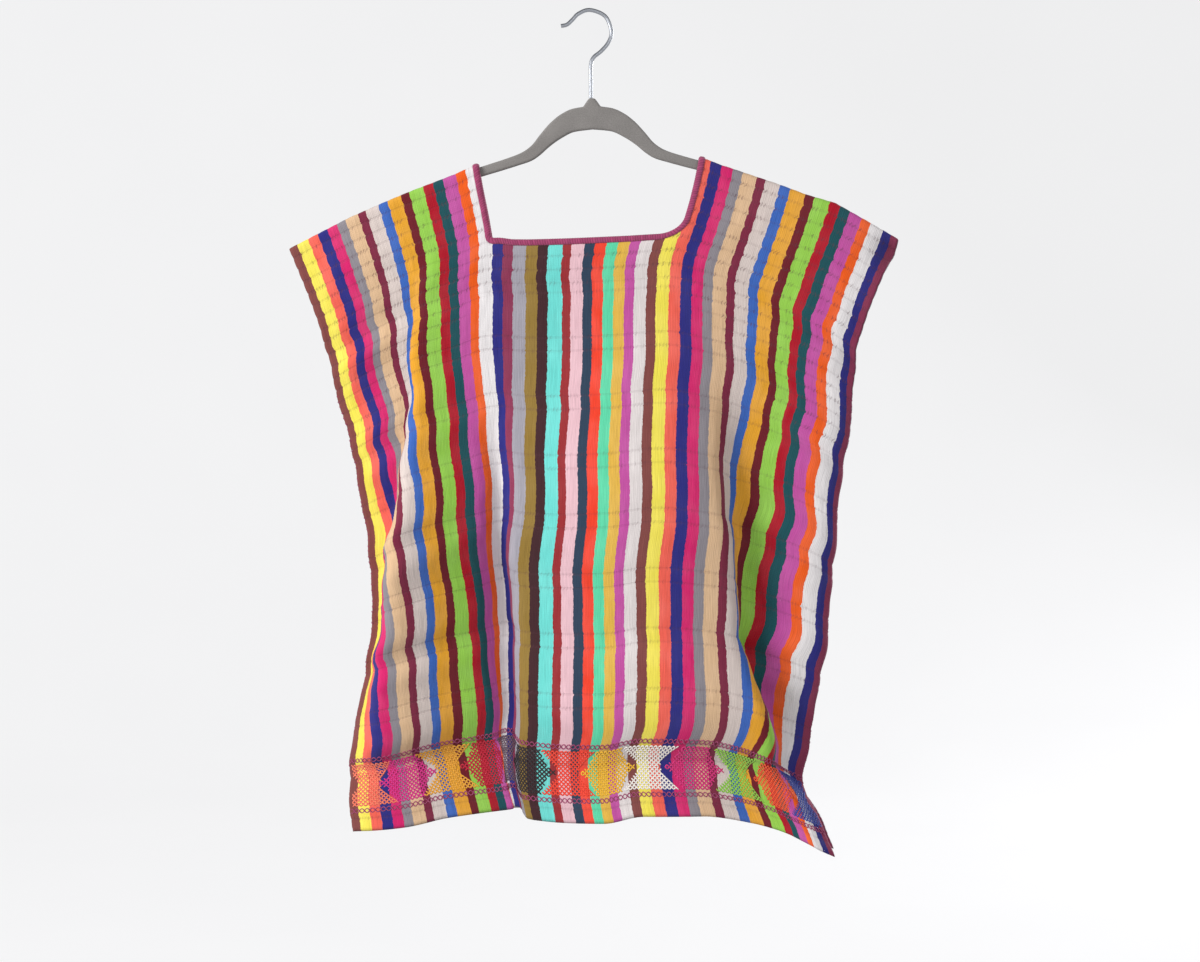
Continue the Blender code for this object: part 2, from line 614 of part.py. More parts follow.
def make_binding(collection):
    """Sweep the folded strip round the neck hole, from the cloth's own points moved out."""
    rings = []
    tube = bmesh.new()
    sheet = Sheet(stripe_stations(), along_stations())
    for x, y, facing in binding_path():
        normal = sheet.outward(x + facing[0] * 2, y + facing[1] * 2)
        ring = []
        for into, out in binding_section():
            place = sheet.place(x + facing[0] * into, y + facing[1] * into) + normal * out
            ring.append(tube.verts.new(place * MM))
        rings.append(ring)
    for ring, following in zip(rings, rings[1:] + rings[:1]):
        for k in range(len(ring)):
            following_k = (k + 1) % len(ring)
            tube.faces.new((ring[k], ring[following_k], following[following_k], following[k]))
    bmesh.ops.recalc_face_normals(tube, faces=tube.faces)
    mesh = bpy.data.meshes.new("neck_binding")
    tube.to_mesh(mesh)
    tube.free()
    mesh.shade_smooth()
    binding = bpy.data.objects.new("neck_binding", mesh)
    return finish(binding, collection, material("berry binding", (0.31, 0.05, 0.13), 0.85))


def smooth_route(points, steps):
    """A Catmull-Rom curve through the route's own points."""
    ends = [points[0]] + list(points) + [points[-1]]
    route = []
    for a, b, c, d in zip(ends, ends[1:], ends[2:], ends[3:]):
        for step in range(steps):
            t = step / steps
            weights = (
                -0.5 * t**3 + t**2 - 0.5 * t, 1.5 * t**3 - 2.5 * t**2 + 1,
                -1.5 * t**3 + 2 * t**2 + 0.5 * t, 0.5 * t**3 - 0.5 * t**2,
            )
            route.append(Edge(*(sum(w * p[k] for w, p in zip(weights, (a, b, c, d))) for k in (0, 1))))
    return route + [points[-1]]


def curve_object(name, points, collection, cyclic):
    """A flat outline or a wire in the XZ plane."""
    data = bpy.data.curves.new(name, "CURVE")
    data.dimensions = "2D" if cyclic else "3D"
    spline = data.splines.new("POLY")
    spline.points.add(len(points) - 1)
    for place, edge in zip(spline.points, points):
        place.co = (edge.x * MM, edge.z * MM, 0, 1)
    spline.use_cyclic_u = cyclic
    thing = bpy.data.objects.new(name, data)
    thing.matrix_world = Matrix.Rotation(pi / 2, 4, "X")
    collection.objects.link(thing)
    return thing


def hanger_outline():
    """The plate's outline, in its own upright frame, clockwise from the top of the hub."""
    arm = [Edge(x, float(smooth_table(x, HANGER_TOP, "z"))) for x in np.linspace(8.8, ARM_END, 34)]
    right = HUB[:-1] + arm + HANGER_TIP[1:-1] + HANGER_BOTTOM
    left = [edge for edge in mirrored(right) if edge.x < -0.01]
    return [rolled(edge) for edge in right + left]


def make_hanger(collection):
    body = curve_object("hanger_body", hanger_outline(), collection, cyclic=True)
    body.data.fill_mode = "BOTH"
    body.data.extrude = (PLATE / 2 - PLATE_ROUND) * MM
    body.data.bevel_depth = PLATE_ROUND * MM
    body.data.bevel_resolution = 2
    body.data.offset = -PLATE_ROUND * MM
    finish(body, collection, material("grey flock", (0.21, 0.2, 0.21), 0.95))
    hook = curve_object("hanger_hook", smooth_route(HOOK_ROUTE, 3), collection, cyclic=False)
    hook.data.bevel_depth = WIRE / 2 * MM
    hook.data.bevel_resolution = 3
    hook.data.use_fill_caps = True
    finish(hook, collection, material("chrome wire", (0.75, 0.75, 0.77), 0.15, 1.0))


def main():
    clear_scene()
    collection = bpy.data.collections.new("Huipil blouse on a hanger")
    bpy.context.scene.collection.children.link(collection)
    down = [row for row in along_stations() if row > 0]
    top = SEAM_GAP / 2 + WALL / 2 * sin(ARC_STEP / 2)
    make_cloth("front_cloth", [top] + down, collection)
    make_cloth("back_cloth", [-row for row in reversed(down)] + [-top], collection)
    make_binding(collection)
    make_hanger(collection)


main()
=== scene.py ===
# %% [markdown]
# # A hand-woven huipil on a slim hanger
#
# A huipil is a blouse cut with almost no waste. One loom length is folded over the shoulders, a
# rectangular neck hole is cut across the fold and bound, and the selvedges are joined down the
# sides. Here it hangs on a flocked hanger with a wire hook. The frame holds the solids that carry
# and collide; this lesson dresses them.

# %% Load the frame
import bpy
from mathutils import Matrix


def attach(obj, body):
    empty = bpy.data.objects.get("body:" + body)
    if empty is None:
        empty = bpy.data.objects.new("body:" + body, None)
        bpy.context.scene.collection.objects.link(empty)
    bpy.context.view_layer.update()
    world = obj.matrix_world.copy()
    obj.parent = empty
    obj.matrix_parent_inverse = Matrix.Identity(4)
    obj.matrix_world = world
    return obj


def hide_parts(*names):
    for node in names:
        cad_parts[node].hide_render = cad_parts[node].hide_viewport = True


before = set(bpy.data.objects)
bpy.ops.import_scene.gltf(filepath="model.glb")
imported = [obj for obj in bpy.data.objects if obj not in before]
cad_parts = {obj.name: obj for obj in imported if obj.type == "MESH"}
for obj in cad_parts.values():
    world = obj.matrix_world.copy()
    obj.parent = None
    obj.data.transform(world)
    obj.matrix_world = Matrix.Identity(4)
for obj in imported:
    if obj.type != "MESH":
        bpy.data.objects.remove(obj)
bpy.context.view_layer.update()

from collections import namedtuple
from functools import partialmethod
from math import cos, pi, radians, sin

import bpy
import numpy as np
from mathutils import Matrix, Vector

MM = 0.001
TINY = 1e-6
print("solids in the frame:", sorted(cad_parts))

# %% [markdown]
# ## Camera
#
# The garment is seen square on from about two metres, with the lens level. At that distance a
# sensor of 36 mm and a lens of 55 mm take in 1.2 m, so the perspective stays as calm as in a
# catalogue picture. The camera comes first, because every look at the work goes through it.

# %% Camera
IMAGE_WIDTH_M = 1.2
CAMERA_AIM = Vector((0.010, 0.0, -0.469))
CAMERA_DISTANCE = 1.85
SENSOR = 36.0

camera_data = bpy.data.cameras.new("camera")
camera_data.sensor_width = SENSOR
camera_data.lens = SENSOR * CAMERA_DISTANCE / IMAGE_WIDTH_M
camera = bpy.data.objects.new("camera", camera_data)
camera.location = CAMERA_AIM - Vector((0, CAMERA_DISTANCE, 0))
camera.rotation_euler = (pi / 2, 0, 0)
bpy.context.scene.collection.objects.link(camera)
bpy.context.scene.camera = camera
print("lens: %.1f mm" % camera_data.lens)

# %% [markdown]
# ## The flat cloth
#
# Weavers think in the flat, so the cloth does too. A place on it is a stripe number, 0 at the left
# selvedge to 52 at the right, and a distance along the warp from the shoulder fold: positive down
# the front, negative down the back. The stripes were beaten a little wider towards the right.

# %% Measures of the flat cloth, in millimetres
STRIPES = 52
HALF_LENGTH = 655.0
NECK_LEFT, NECK_RIGHT = 18, 34  # the stripes where the neck hole starts and ends
NECK_DROP = 78.0
NECK_CORNER_LEFT, NECK_CORNER_RIGHT = 4.0, 16.0  # radii of its corners
CLOTH_TUCK = 1.6  # how deep the cut edge lies in the binding
ARMHOLE, VENT = 165.0, 66.0
WALL = 1.5
PER_STRIPE = 12  # steps of the worked-out drape in a stripe
FINE_STRIPES = np.linspace(0, STRIPES, STRIPES * PER_STRIPE + 1)


def table(kind, *rows):
    """A list of named places, from rows of plain numbers."""
    return [kind(*row) for row in rows]


Spread = namedtuple("Spread", "stripe across")
STRIPE_SPREAD = table(
    Spread, (0, 0), (10, 106), (20, 222), (33, 370), (40, 454), (50, 580), (52, 600),
)


def smooth_table(where, rows, column):
    """Read a column of a table between its rows, on a smooth curve that never overshoots."""
    keys = np.array([row[0] for row in rows], float)
    values = np.array([getattr(row, column) for row in rows], float)
    if keys[0] > keys[-1]:
        keys, values = keys[::-1], values[::-1]
    steps = np.diff(keys)
    rates = np.diff(values) / steps
    slopes = np.zeros_like(values)
    slopes[0], slopes[-1] = rates[0], rates[-1]
    for i in range(1, len(keys) - 1):
        if rates[i - 1] * rates[i] > 0:
            before = 2 * steps[i] + steps[i - 1]
            after = steps[i] + 2 * steps[i - 1]
            slopes[i] = (before + after) / (before / rates[i - 1] + after / rates[i])
    where = np.clip(np.asarray(where, float), keys[0], keys[-1])
    i = np.clip(np.searchsorted(keys, where, side="right") - 1, 0, len(keys) - 2)
    t = (where - keys[i]) / steps[i]
    start = (2 * t**3 - 3 * t**2 + 1) * values[i] + (t**3 - 2 * t**2 + t) * steps[i] * slopes[i]
    end = (-2 * t**3 + 3 * t**2) * values[i + 1] + (t**3 - t**2) * steps[i] * slopes[i + 1]
    return start + end


def smooth_step(t):
    t = np.clip(t, 0.0, 1.0)
    return t * t * (3 - 2 * t)


def bell(distance, width):
    """1 at no distance, and almost 0 from two widths on."""
    return np.exp(-((distance / width) ** 2))


FINE_ACROSS = smooth_table(FINE_STRIPES, STRIPE_SPREAD, "across")


def across(stripe):
    """Millimetres from the left selvedge of the flat cloth."""
    return np.interp(stripe, FINE_STRIPES, FINE_ACROSS)


def stripe_at(across_mm):
    return np.interp(across_mm, FINE_ACROSS, FINE_STRIPES)


print("cut size: %.0f x %.0f mm" % (across(STRIPES), 2 * HALF_LENGTH))

# %% [markdown]
# ## The hanger's lines
#
# A slim hanger is one thin plate with round edges, so its whole shape is in its outline. Only the
# right half is written down. The left is its mirror image, and the whole is rolled a little
# over a degree about the hook, because this one hangs higher on the right.

# %% Hanger measures, in millimetres
SEAM_GAP = 0.3
ROLL = radians(1.2)
PLATE, PLATE_ROUND = 5.5, 2.6
WIRE = 4.0
ARM_START, ARM_END, ARM_STEPS = 90.0, 212.0, 40  # the stretch of an arm that the cloth rests on

Edge = namedtuple("Edge", "x z")
HUB = table(Edge, (0, -86.4), (2.9, -86.8), (5.3, -89.6), (8.8, -94.6))
HANGER_TOP = table(
    Edge, (8.8, -94.6), (20, -96.5), (31, -101.5), (42, -110), (52, -121), (61.5, -132.5), (71, -139),
    (85, -144.3), (97, -148), (108, -151.3), (130, -158), (155, -167), (185, -177.8), (212, -188.5),
)
HANGER_TIP = table(
    Edge, (212, -188.5), (217, -191.2), (218.6, -195), (215, -198.6), (208, -197.8),
)
HANGER_BOTTOM = table(
    Edge, (208, -197.8), (185, -188.6), (155, -177.6), (130, -168.6), (111, -162.3), (92, -157),
    (75, -152), (61, -147.4), (52, -141.5), (44, -134.5), (31, -125.6), (18, -119.6), (0, -117.5),
)
HOOK_ROUTE = table(
    Edge, (0.9, -86.1), (0.9, -70), (0.9, -53), (3.6, -45.5), (11, -39.3), (18.4, -30.5), (21.4, -19.5),
    (15.2, -4.3), (0, 2.0), (-11.3, -1.6), (-17.6, -7.8), (-23, -12.6), (-29, -14.0),
)


def rolled(edge):
    """A point of the hanger's own upright outline, turned about the hook's crown."""
    return Edge(edge.x * cos(ROLL) - edge.z * sin(ROLL), edge.x * sin(ROLL) + edge.z * cos(ROLL))


def drawn(edges, first, last, steps):
    """A smooth line through an outline's marks, between two distances from the middle."""
    return [Edge(x, float(smooth_table(x, edges, "z"))) for x in np.linspace(first, last, steps)]


def arm_line(side):
    """The top edge of one arm, rolled into place."""
    return [rolled(Edge(side * x, z)) for x, z in drawn(HANGER_TOP, ARM_START, ARM_END, ARM_STEPS)]


def arm_place(x):
    """The place on the hanger's top edge at this x."""
    side = 1 if x > 0 else -1
    line = arm_line(side)
    return Edge(x, float(np.interp(side * x, [side * e.x for e in line], [e.z for e in line])))


print("hanger span: %.0f mm" % (2 * max(edge.x for edge in HANGER_TIP)))

# %% [markdown]
# ## The shoulder fold
#
# The fold rests on the hanger's arms and droops past their ends to two tips. Beside the neck the
# binding lies between cloth and arm, so the fold's radius grows by its thickness there and eases
# back over a finger's width.

# %% Shoulder fold
SHOULDER_TIP_LEFT = table(Edge, (-300, -238), (-270, -222.5), (-240, -207))
SHOULDER_TIP_RIGHT = table(Edge, (245, -192.5), (275, -209.5), (307, -228))
NECK_TOP_LEFT, NECK_TOP_RIGHT = -112.0, 110.0  # x of the neck hole's sides on the hanger
BINDING_REACH, BINDING_LEG = 5.0, 1.0  # how far it covers the cloth, and how thickly
BINDING_PLAY = 0.1  # extra room for it on the hanger
LIFT_MARGIN, LIFT_SPAN = 2.0, 16.0  # past it, the cloth comes down over this width
FINE = len(FINE_STRIPES)

Level = namedtuple("Level", "stripe z")
SHOULDER_LEVEL = table(
    Level, (0, -238), (6, -205), (10, -187), (14, -171), (18, -156), (26, -152), (34, -149), (38.5, -161),
    (44, -181), (48, -201), (52, -228),
)


def run_along(xs, ys):
    """The length run so far at every point of a line."""
    return np.concatenate([[0], np.cumsum(np.hypot(np.diff(xs), np.diff(ys)))])


def cloth_radius(stripe):
    """Radius of the shoulder fold at mid-wall. The binding lifts the cloth beside the neck."""
    plain = PLATE / 2 + SEAM_GAP + WALL / 2
    lift = BINDING_LEG + SEAM_GAP + BINDING_PLAY
    from_left = np.abs(across(stripe) - across(NECK_LEFT))
    from_right = np.abs(across(stripe) - across(NECK_RIGHT))
    past_binding = np.minimum(from_left, from_right) - BINDING_REACH - LIFT_MARGIN
    return plain + lift * (1 - smooth_step(past_binding / LIFT_SPAN))


def shoulder_fold():
    """The draped shoulder fold: x and z at each fine stripe, resting on the hanger's arms."""
    left_arm = [edge for edge in reversed(arm_line(-1)) if edge.x < NECK_TOP_LEFT]
    right_arm = [edge for edge in arm_line(1) if edge.x > NECK_TOP_RIGHT]
    left = SHOULDER_TIP_LEFT + left_arm + [arm_place(NECK_TOP_LEFT)]
    right = [arm_place(NECK_TOP_RIGHT)] + right_arm + SHOULDER_TIP_RIGHT
    neck = (NECK_LEFT, NECK_RIGHT)
    fold_x = np.interp(FINE_STRIPES, neck, (NECK_TOP_LEFT, NECK_TOP_RIGHT))
    fold_z = np.interp(FINE_STRIPES, neck, (left[-1].z, right[0].z))
    for line, first, last in ((left, 0, NECK_LEFT), (right, NECK_RIGHT, STRIPES)):
        xs, zs = np.array(line, float).T
        run = run_along(xs, zs)
        here = (FINE_STRIPES >= first) & (FINE_STRIPES <= last)
        share = (FINE_ACROSS[here] - across(first)) / (across(last) - across(first))
        fold_x[here] = np.interp(share * run[-1], run, xs)
        fold_z[here] = np.interp(share * run[-1], run, zs)
    return fold_x, fold_z + cloth_radius(FINE_STRIPES) - PLATE / 2


FOLD_X, FOLD_Z = shoulder_fold()
SMOOTH_TOP = smooth_table(FINE_STRIPES, SHOULDER_LEVEL, "z")
print("fold from x %.0f to %.0f mm" % (FOLD_X[0], FOLD_X[-1]))

# %% [markdown]
# ## The hanging outline
#
# Five lines give the hanging shape: the shoulder above, the two sides, and a hem for the front and
# one for the back. The tables list a few places on each line, and a smooth reading fills in the
# rest, which is how a pattern cutter draws with a few marks and a curve.

# %% Sides and hems
Side = namedtuple("Side", "z x")
LEFT_SIDE = table(
    Side, (-238, -300), (-308, -272), (-388, -251), (-468, -231), (-588, -216), (-648, -221),
    (-708, -233), (-778, -240), (-818, -235),
)
RIGHT_SIDE = table(
    Side, (-228, 307), (-262, 293), (-348, 265), (-388, 263), (-468, 251), (-548, 243), (-628, 236),
    (-708, 222), (-773, 213), (-798, 224), (-841, 242),
)
HEM_FRONT = table(
    Level, (0, -817), (5, -812), (9, -804), (15, -797), (18.5, -794), (21.5, -806), (25, -809),
    (29, -808), (33, -800), (38, -800), (42, -807), (47, -822), (52, -838),
)
HEM_BACK = table(
    Level, (0, -817), (8, -806), (20, -798), (31, -803), (35, -797), (44, -808), (52, -838),
)
print("marks on sides and hems:", len(LEFT_SIDE + RIGHT_SIDE + HEM_FRONT + HEM_BACK))

# %% [markdown]
# ## The folds of the front
#
# Cloth that hangs from two tips gathers into long folds that run down and inwards. Seen from above,
# a row of the cloth is a line that turns to the back (+) or to the front (-) by so many degrees at
# each fold. The tables follow each fold down the cloth: where it is, how wide, and how far it turns.

# %% Front folds
Fold = namedtuple("Fold", "drop stripe half turn")
FRONT_FOLDS = {
    "left flap": table(
        Fold, (60, 4, 4, 0), (130, 4.5, 4.5, 18), (209, 4, 4, 32), (285, 2, 2.4, 38), (363, 0.4, 1.2, 30),
        (448, 0.2, 1, 20), (533, 0, 1, 0),
    ),
    "left crest": table(
        Fold, (60, 11, 2, 0), (130, 10.2, 1.3, -58), (167, 9.3, 1.8, -68), (209, 8.7, 2, -76),
        (247, 7.4, 2.3, -79), (285, 6.2, 2.6, -81), (363, 3.9, 3, -84), (448, 2.8, 2.2, -80),
        (533, 1.8, 1.8, -60), (610, 1, 1.8, 0),
    ),
    "valley, near side": table(
        Fold, (200, 17, 1.5, 0), (319, 17.2, 1.7, 48), (401, 16.6, 2.1, 52), (483, 16.3, 2.2, 58),
        (565, 16.8, 1.8, 68), (655, 17.2, 1.6, 66),
    ),
    "valley, far side": table(
        Fold, (180, 19, 1.2, 0), (237, 18.8, 1, -50), (319, 19, 1.2, -66), (401, 19.3, 1.4, -70),
        (483, 19.8, 1.6, -72), (565, 20, 1.8, -72), (655, 20.4, 1.7, -72),
    ),
    "right crest": table(
        Fold, (200, 39.5, 2, 0), (268, 40, 1.7, 48), (309, 40.2, 1.9, 62), (386, 41.6, 2, 80),
        (463, 42.9, 2.2, 85), (500, 44.2, 2.5, 86), (540, 46, 2.8, 78), (575, 48.2, 2.9, 62),
        (610, 50.6, 2.8, 36), (655, 54, 2.6, 10),
    ),
    "right selvedge": table(
        Fold, (120, 52, 1, 0), (200, 51.6, 1.2, 38), (386, 51.6, 1.3, 44), (463, 52, 1, 45),
        (532, 52, 1, 20), (566, 52, 1, 0),
    ),
}

# %% [markdown]
# ## The folds of the back, and the broad slopes
#
# The back hangs from the same two tips, so it has folds of the same kind, placed where they do not
# copy the front. Between folds the cloth still slopes a little to and fro, and those broad slopes
# are a share of one turn.

# %% Back folds and slopes
BACK_FOLDS = {
    "left crest": table(
        Fold, (70, 10, 2, 0), (150, 9, 1.6, 58), (240, 7.6, 2.1, 74), (360, 5.4, 2.7, 80),
        (480, 4, 2.5, 78), (590, 3, 2.2, 64), (655, 2.6, 2, 46),
    ),
    "valley, near side": table(
        Fold, (190, 30, 1.5, 0), (320, 30.2, 1.7, -46), (480, 29.6, 2, -58), (655, 29, 2, -66),
    ),
    "valley, far side": table(
        Fold, (190, 33.5, 1.4, 0), (320, 33.2, 1.5, 52), (480, 33, 1.8, 64), (655, 32.8, 1.9, 70),
    ),
    "right crest": table(
        Fold, (90, 42, 2, 0), (180, 43, 1.6, -52), (270, 44.6, 2, -70), (380, 46.2, 2.5, -80),
        (480, 47.4, 2.6, -78), (560, 48.4, 2.2, -60), (655, 49, 2, -40),
    ),
}
Sway = namedtuple("Sway", "stripe share")
SWAY_TURN = 16.0
FULL_FOLD = 25.0  # a fold that turns this far leaves no slope of its own
FRONT_SWAY = table(
    Sway, (0, 0), (6, 0.8), (8, 1.6), (12, 1.6), (15, 1.2), (18, 0), (21, -0.6), (24, -1), (28, -0.6),
    (32, 0), (36, 0.6), (40, 1), (44, 0), (46, -0.8), (49, -0.4), (52, 0.8),
)
BACK_SWAY = table(
    Sway, (0, 0.6), (4, 0.4), (10, -0.4), (16, -1.2), (22, 0.4), (27, 1.2), (31, 0), (36, -0.8),
    (42, 0.6), (47, 0.5), (52, -0.8),
)
SWAY_DROP = 200.0  # the slopes are full from here down
DEPTH_SHARE = 0.8  # part of the turned depth that stays once the cloth has settled
PULL_DROP = 150.0  # the pull of the drawn-open neck hole has died out here
MIDDLE_SPAN = 75.0  # how far in from a selvedge the garment's middle follows it
SEAM_SPAN = 14.0  # how far in from a selvedge the two panels lie close together
SEAM_EASE = 0.15  # from the middle to each panel's inner face, along the side seams
PANEL_EASE = 2.4  # how much further apart the panels' valleys lie, away from the seams
SEAM_SOFTNESS = 0.2  # how gently a panel comes to rest on the middle, at the seams
PANEL_SOFTNESS = 5.0  # and away from them
SETTLE_DROP = 40.0  # below the shoulder fold's own round, where the panels part
SOFT_DROP = 120.0  # the panels are at their softest from here down
CLOSE_DROP = 4 * PLATE_ROUND  # they start to close in here, just under the hanger's arms
STEEPEST = 0.05  # the least share of its width that a weft line spans, squared
print("folds: %d in front, %d behind" % (len(FRONT_FOLDS), len(BACK_FOLDS)))

# %% [markdown]
# ## The selvedges
#
# At the sides the two panels are joined, so their depth there is one number. At the armholes and
# the hem vents they stand apart, and the table opens them by a few millimetres each.

# %% Selvedges
Selvedge = namedtuple("Selvedge", "drop left right left_open right_open")
SELVEDGES = table(
    Selvedge, (0, 0, 0, 0, 0), (80, 0, 0, 4, 4), (ARMHOLE, -2, 0, 0, 0), (360, -14, -4, 0, 0),
    (HALF_LENGTH - VENT, -6, -5, 0, 0), (HALF_LENGTH - VENT / 2, -4, -8, 4.5, 10),
    (HALF_LENGTH, -3, -13, 9, 19),
)
print("marks on the selvedges:", len(SELVEDGES))

# %% [markdown]
# ## Draping by rule
#
# A cloth simulation would let the stripes wander and the neck hole collapse. Here every place of
# the flat sheet is carried to its place in the hanging garment by rule instead: down from the fold
# to the hem, and across by adding up short steps whose direction is the sum of the folds. Lengths
# are kept, so stripes stay as wide as woven and narrow only where the cloth turns away.

# %% Rows of one side
def turns(folds, sway, drops):
    """The cloth's direction across each row, in radians from +X towards the back."""
    turn = np.zeros((len(drops), FINE))
    free = np.ones_like(turn)
    for rows in folds.values():
        stripe = smooth_table(drops, rows, "stripe")[:, None]
        half = smooth_table(drops, rows, "half")[:, None]
        degrees = smooth_table(drops, rows, "turn")[:, None]
        reach = np.exp(-(((FINE_STRIPES - stripe) / half) ** 4))
        turn += degrees * reach
        free *= 1 - reach * np.minimum(1.0, np.abs(degrees) / FULL_FOLD)
    slope = SWAY_TURN * np.minimum(1.0, drops / SWAY_DROP)[:, None]
    return np.radians(turn + slope * free * smooth_table(FINE_STRIPES, sway, "share"))


def sums(rate):
    """Running sums of a rate along every row of the flat cloth."""
    steps = (rate[:, 1:] + rate[:, :-1]) / 2 * np.diff(FINE_ACROSS)
    return np.concatenate([np.zeros((len(rate), 1)), np.cumsum(steps, axis=1)], axis=1)


def weft_level(z):
    """The share of the cloth's width that a sloping weft line still spans."""
    return np.sqrt(np.maximum(1 - np.gradient(z, FINE_ACROSS, axis=1) ** 2, STEEPEST))


def weft_x(z, turn):
    """X along weft lines, from their slope and turns, fitted between the two selvedges."""
    x = sums(weft_level(z) * np.cos(turn))
    first = smooth_table(z[:, 0], LEFT_SIDE, "x")[:, None]
    last = smooth_table(z[:, -1], RIGHT_SIDE, "x")[:, None]
    return first + x * (last - first) / x[:, -1:]


def selvedge(facing, drops, side):
    """Depth of a panel's selvedge on one side."""
    opened = facing * smooth_table(drops, SELVEDGES, side + "_open")
    return (smooth_table(drops, SELVEDGES, side) + opened)[:, None]

# %% [markdown]
# ## Keeping front and back apart
#
# Each panel stays on its own side of a middle surface that follows the selvedges. A soft limit does
# it: where the folds would cross the middle the panel comes to rest on it, and elsewhere it
# is left almost as it was.

# %% Settle and drape
def settled(facing, x, y, drops, start, end, bend):
    """Depth of a panel once it keeps to its own side of the middle."""
    from_left, from_right = x - x[:, :1], x[:, -1:] - x
    middle = start * bell(from_left, MIDDLE_SPAN) + end * bell(from_right, MIDDLE_SPAN)
    inner = (1 - bell(from_left, SEAM_SPAN)) * (1 - bell(from_right, SEAM_SPAN))
    down = drops[:, None]
    softness = (PANEL_SOFTNESS - SEAM_SOFTNESS) * inner * np.minimum(1.0, down / SOFT_DROP)
    softness += SEAM_SOFTNESS
    apart = cloth_radius(FINE_STRIPES)
    closed = WALL / 2 + SEAM_EASE + PANEL_EASE * inner
    closing = smooth_step((down - CLOSE_DROP) / (ARMHOLE - CLOSE_DROP))
    clear = closed + (apart - closed) * (1 - closing)
    out = np.logaddexp(0, facing * (y - middle) / softness)
    ramp = smooth_step(down / SETTLE_DROP)
    return middle * ramp + facing * (clear * np.sin(bend) + softness * out * ramp)


def drape_side(facing, hem, folds, sway, drops):
    """X, Y and Z of one side of the cloth: a row for each drop, a column for each fine stripe."""
    down = drops[:, None]
    eased = smooth_step((down - SETTLE_DROP) / (PULL_DROP - SETTLE_DROP))
    top = FOLD_Z + (SMOOTH_TOP - FOLD_Z) * eased
    radius = cloth_radius(FINE_STRIPES)
    quarter = radius * pi / 2
    bend = np.minimum(down / radius, pi / 2)
    hang = np.maximum(down - quarter, 0) / (HALF_LENGTH - quarter)
    z = top - radius * (1 - np.cos(bend))
    z += (smooth_table(FINE_STRIPES, hem, "z") - top + radius) * hang

    turn = turns(folds, sway, drops)
    natural = weft_x(FOLD_Z[None, :], np.zeros((1, FINE)))
    x = weft_x(z, turn) + (FOLD_X - natural) * smooth_step(1 - down / PULL_DROP)
    y = sums(weft_level(z) * np.sin(turn)) * DEPTH_SHARE
    start, end = selvedge(facing, drops, "left"), selvedge(facing, drops, "right")
    y += start - (y[:, -1:] + start - end) * FINE_ACROSS / FINE_ACROSS[-1]
    return np.stack([x, settled(facing, x, y, drops, start, end, bend), z], axis=-1)

# %% [markdown]
# ## The whole draped sheet
#
# Both sides are worked out on a fine lattice and laid end to end, from the back hem over the fold
# to the front hem. Everything that lies on the cloth reads its place from this one lattice,
# so nothing on it can float or sink.

# %% Lattice of the draped cloth
LATTICE_ROWS = 438
ROW_MM = HALF_LENGTH / LATTICE_ROWS
drops = np.linspace(0, HALF_LENGTH, LATTICE_ROWS + 1)
front = drape_side(-1, HEM_FRONT, FRONT_FOLDS, FRONT_SWAY, drops)
back = drape_side(1, HEM_BACK, BACK_FOLDS, BACK_SWAY, drops)
lattice = np.concatenate([back[:0:-1], front])
along = np.concatenate([-drops[:0:-1], drops])
print("lattice:", lattice.shape[:2], "x %.0f to %.0f mm" % (lattice[..., 0].min(), lattice[..., 0].max()))

# %% [markdown]
# ## Slow ripples
#
# The loom beats each pattern row a little harder, so the hanging cloth has a soft ripple about
# every 58 mm. It is strong at the slack sides and almost gone in the taut middle. Both panels get
# the same ripple, which is how two joined layers move, and it keeps them as far apart as before.

# %% Ripples
Ripple = namedtuple("Ripple", "period start depth lean puff")
RIPPLES = table(
    Ripple, (58.3, 6.7, 3.0, 0.5, 0.8), (97.0, 30.0, 1.5, -0.7, 0.0), (39.0, 12.0, 0.9, 1.2, 0.0),
)
Wander = namedtuple("Wander", "size stripes drop")
WANDERS = table(Wander, (0.8, 6.1, 170.0), (0.7, 3.9, -120.0))  # no ripple runs quite straight
PUFF_SIZE, PUFF_LAG = 1.6, 0.5
LEFT_RIPPLE, RIGHT_RIPPLE = 1.1, 1.15  # the right side hangs a little slacker than the left
LEFT_END, RIGHT_START, SIDE_EASE = 18.0, 34.0, 10.0  # where those sides are, in stripes
SEAM_RIPPLE, SEAM_STIFF = 0.4, 36.0  # the joined selvedges are stiffer than the cloth beside them
SLACK_SPAN = 205.0  # how far in from a selvedge the cloth is slack, in millimetres
MIDDLE_RIPPLE = 0.24  # share of the ripple left in the middle
SIDEWAYS = 0.9  # sideways share of a ripple
CALM_START, CALM_DROP = 18.0, 130.0  # the ripples start here and are full so much lower


def puffed(wave, smooth, half_turn):
    """One ripple: partly a smooth wave, partly a row of puffs with tight valleys between."""
    return (1 - wave.puff) * smooth + wave.puff * (PUFF_SIZE * np.abs(np.sin(half_turn)) - 1)


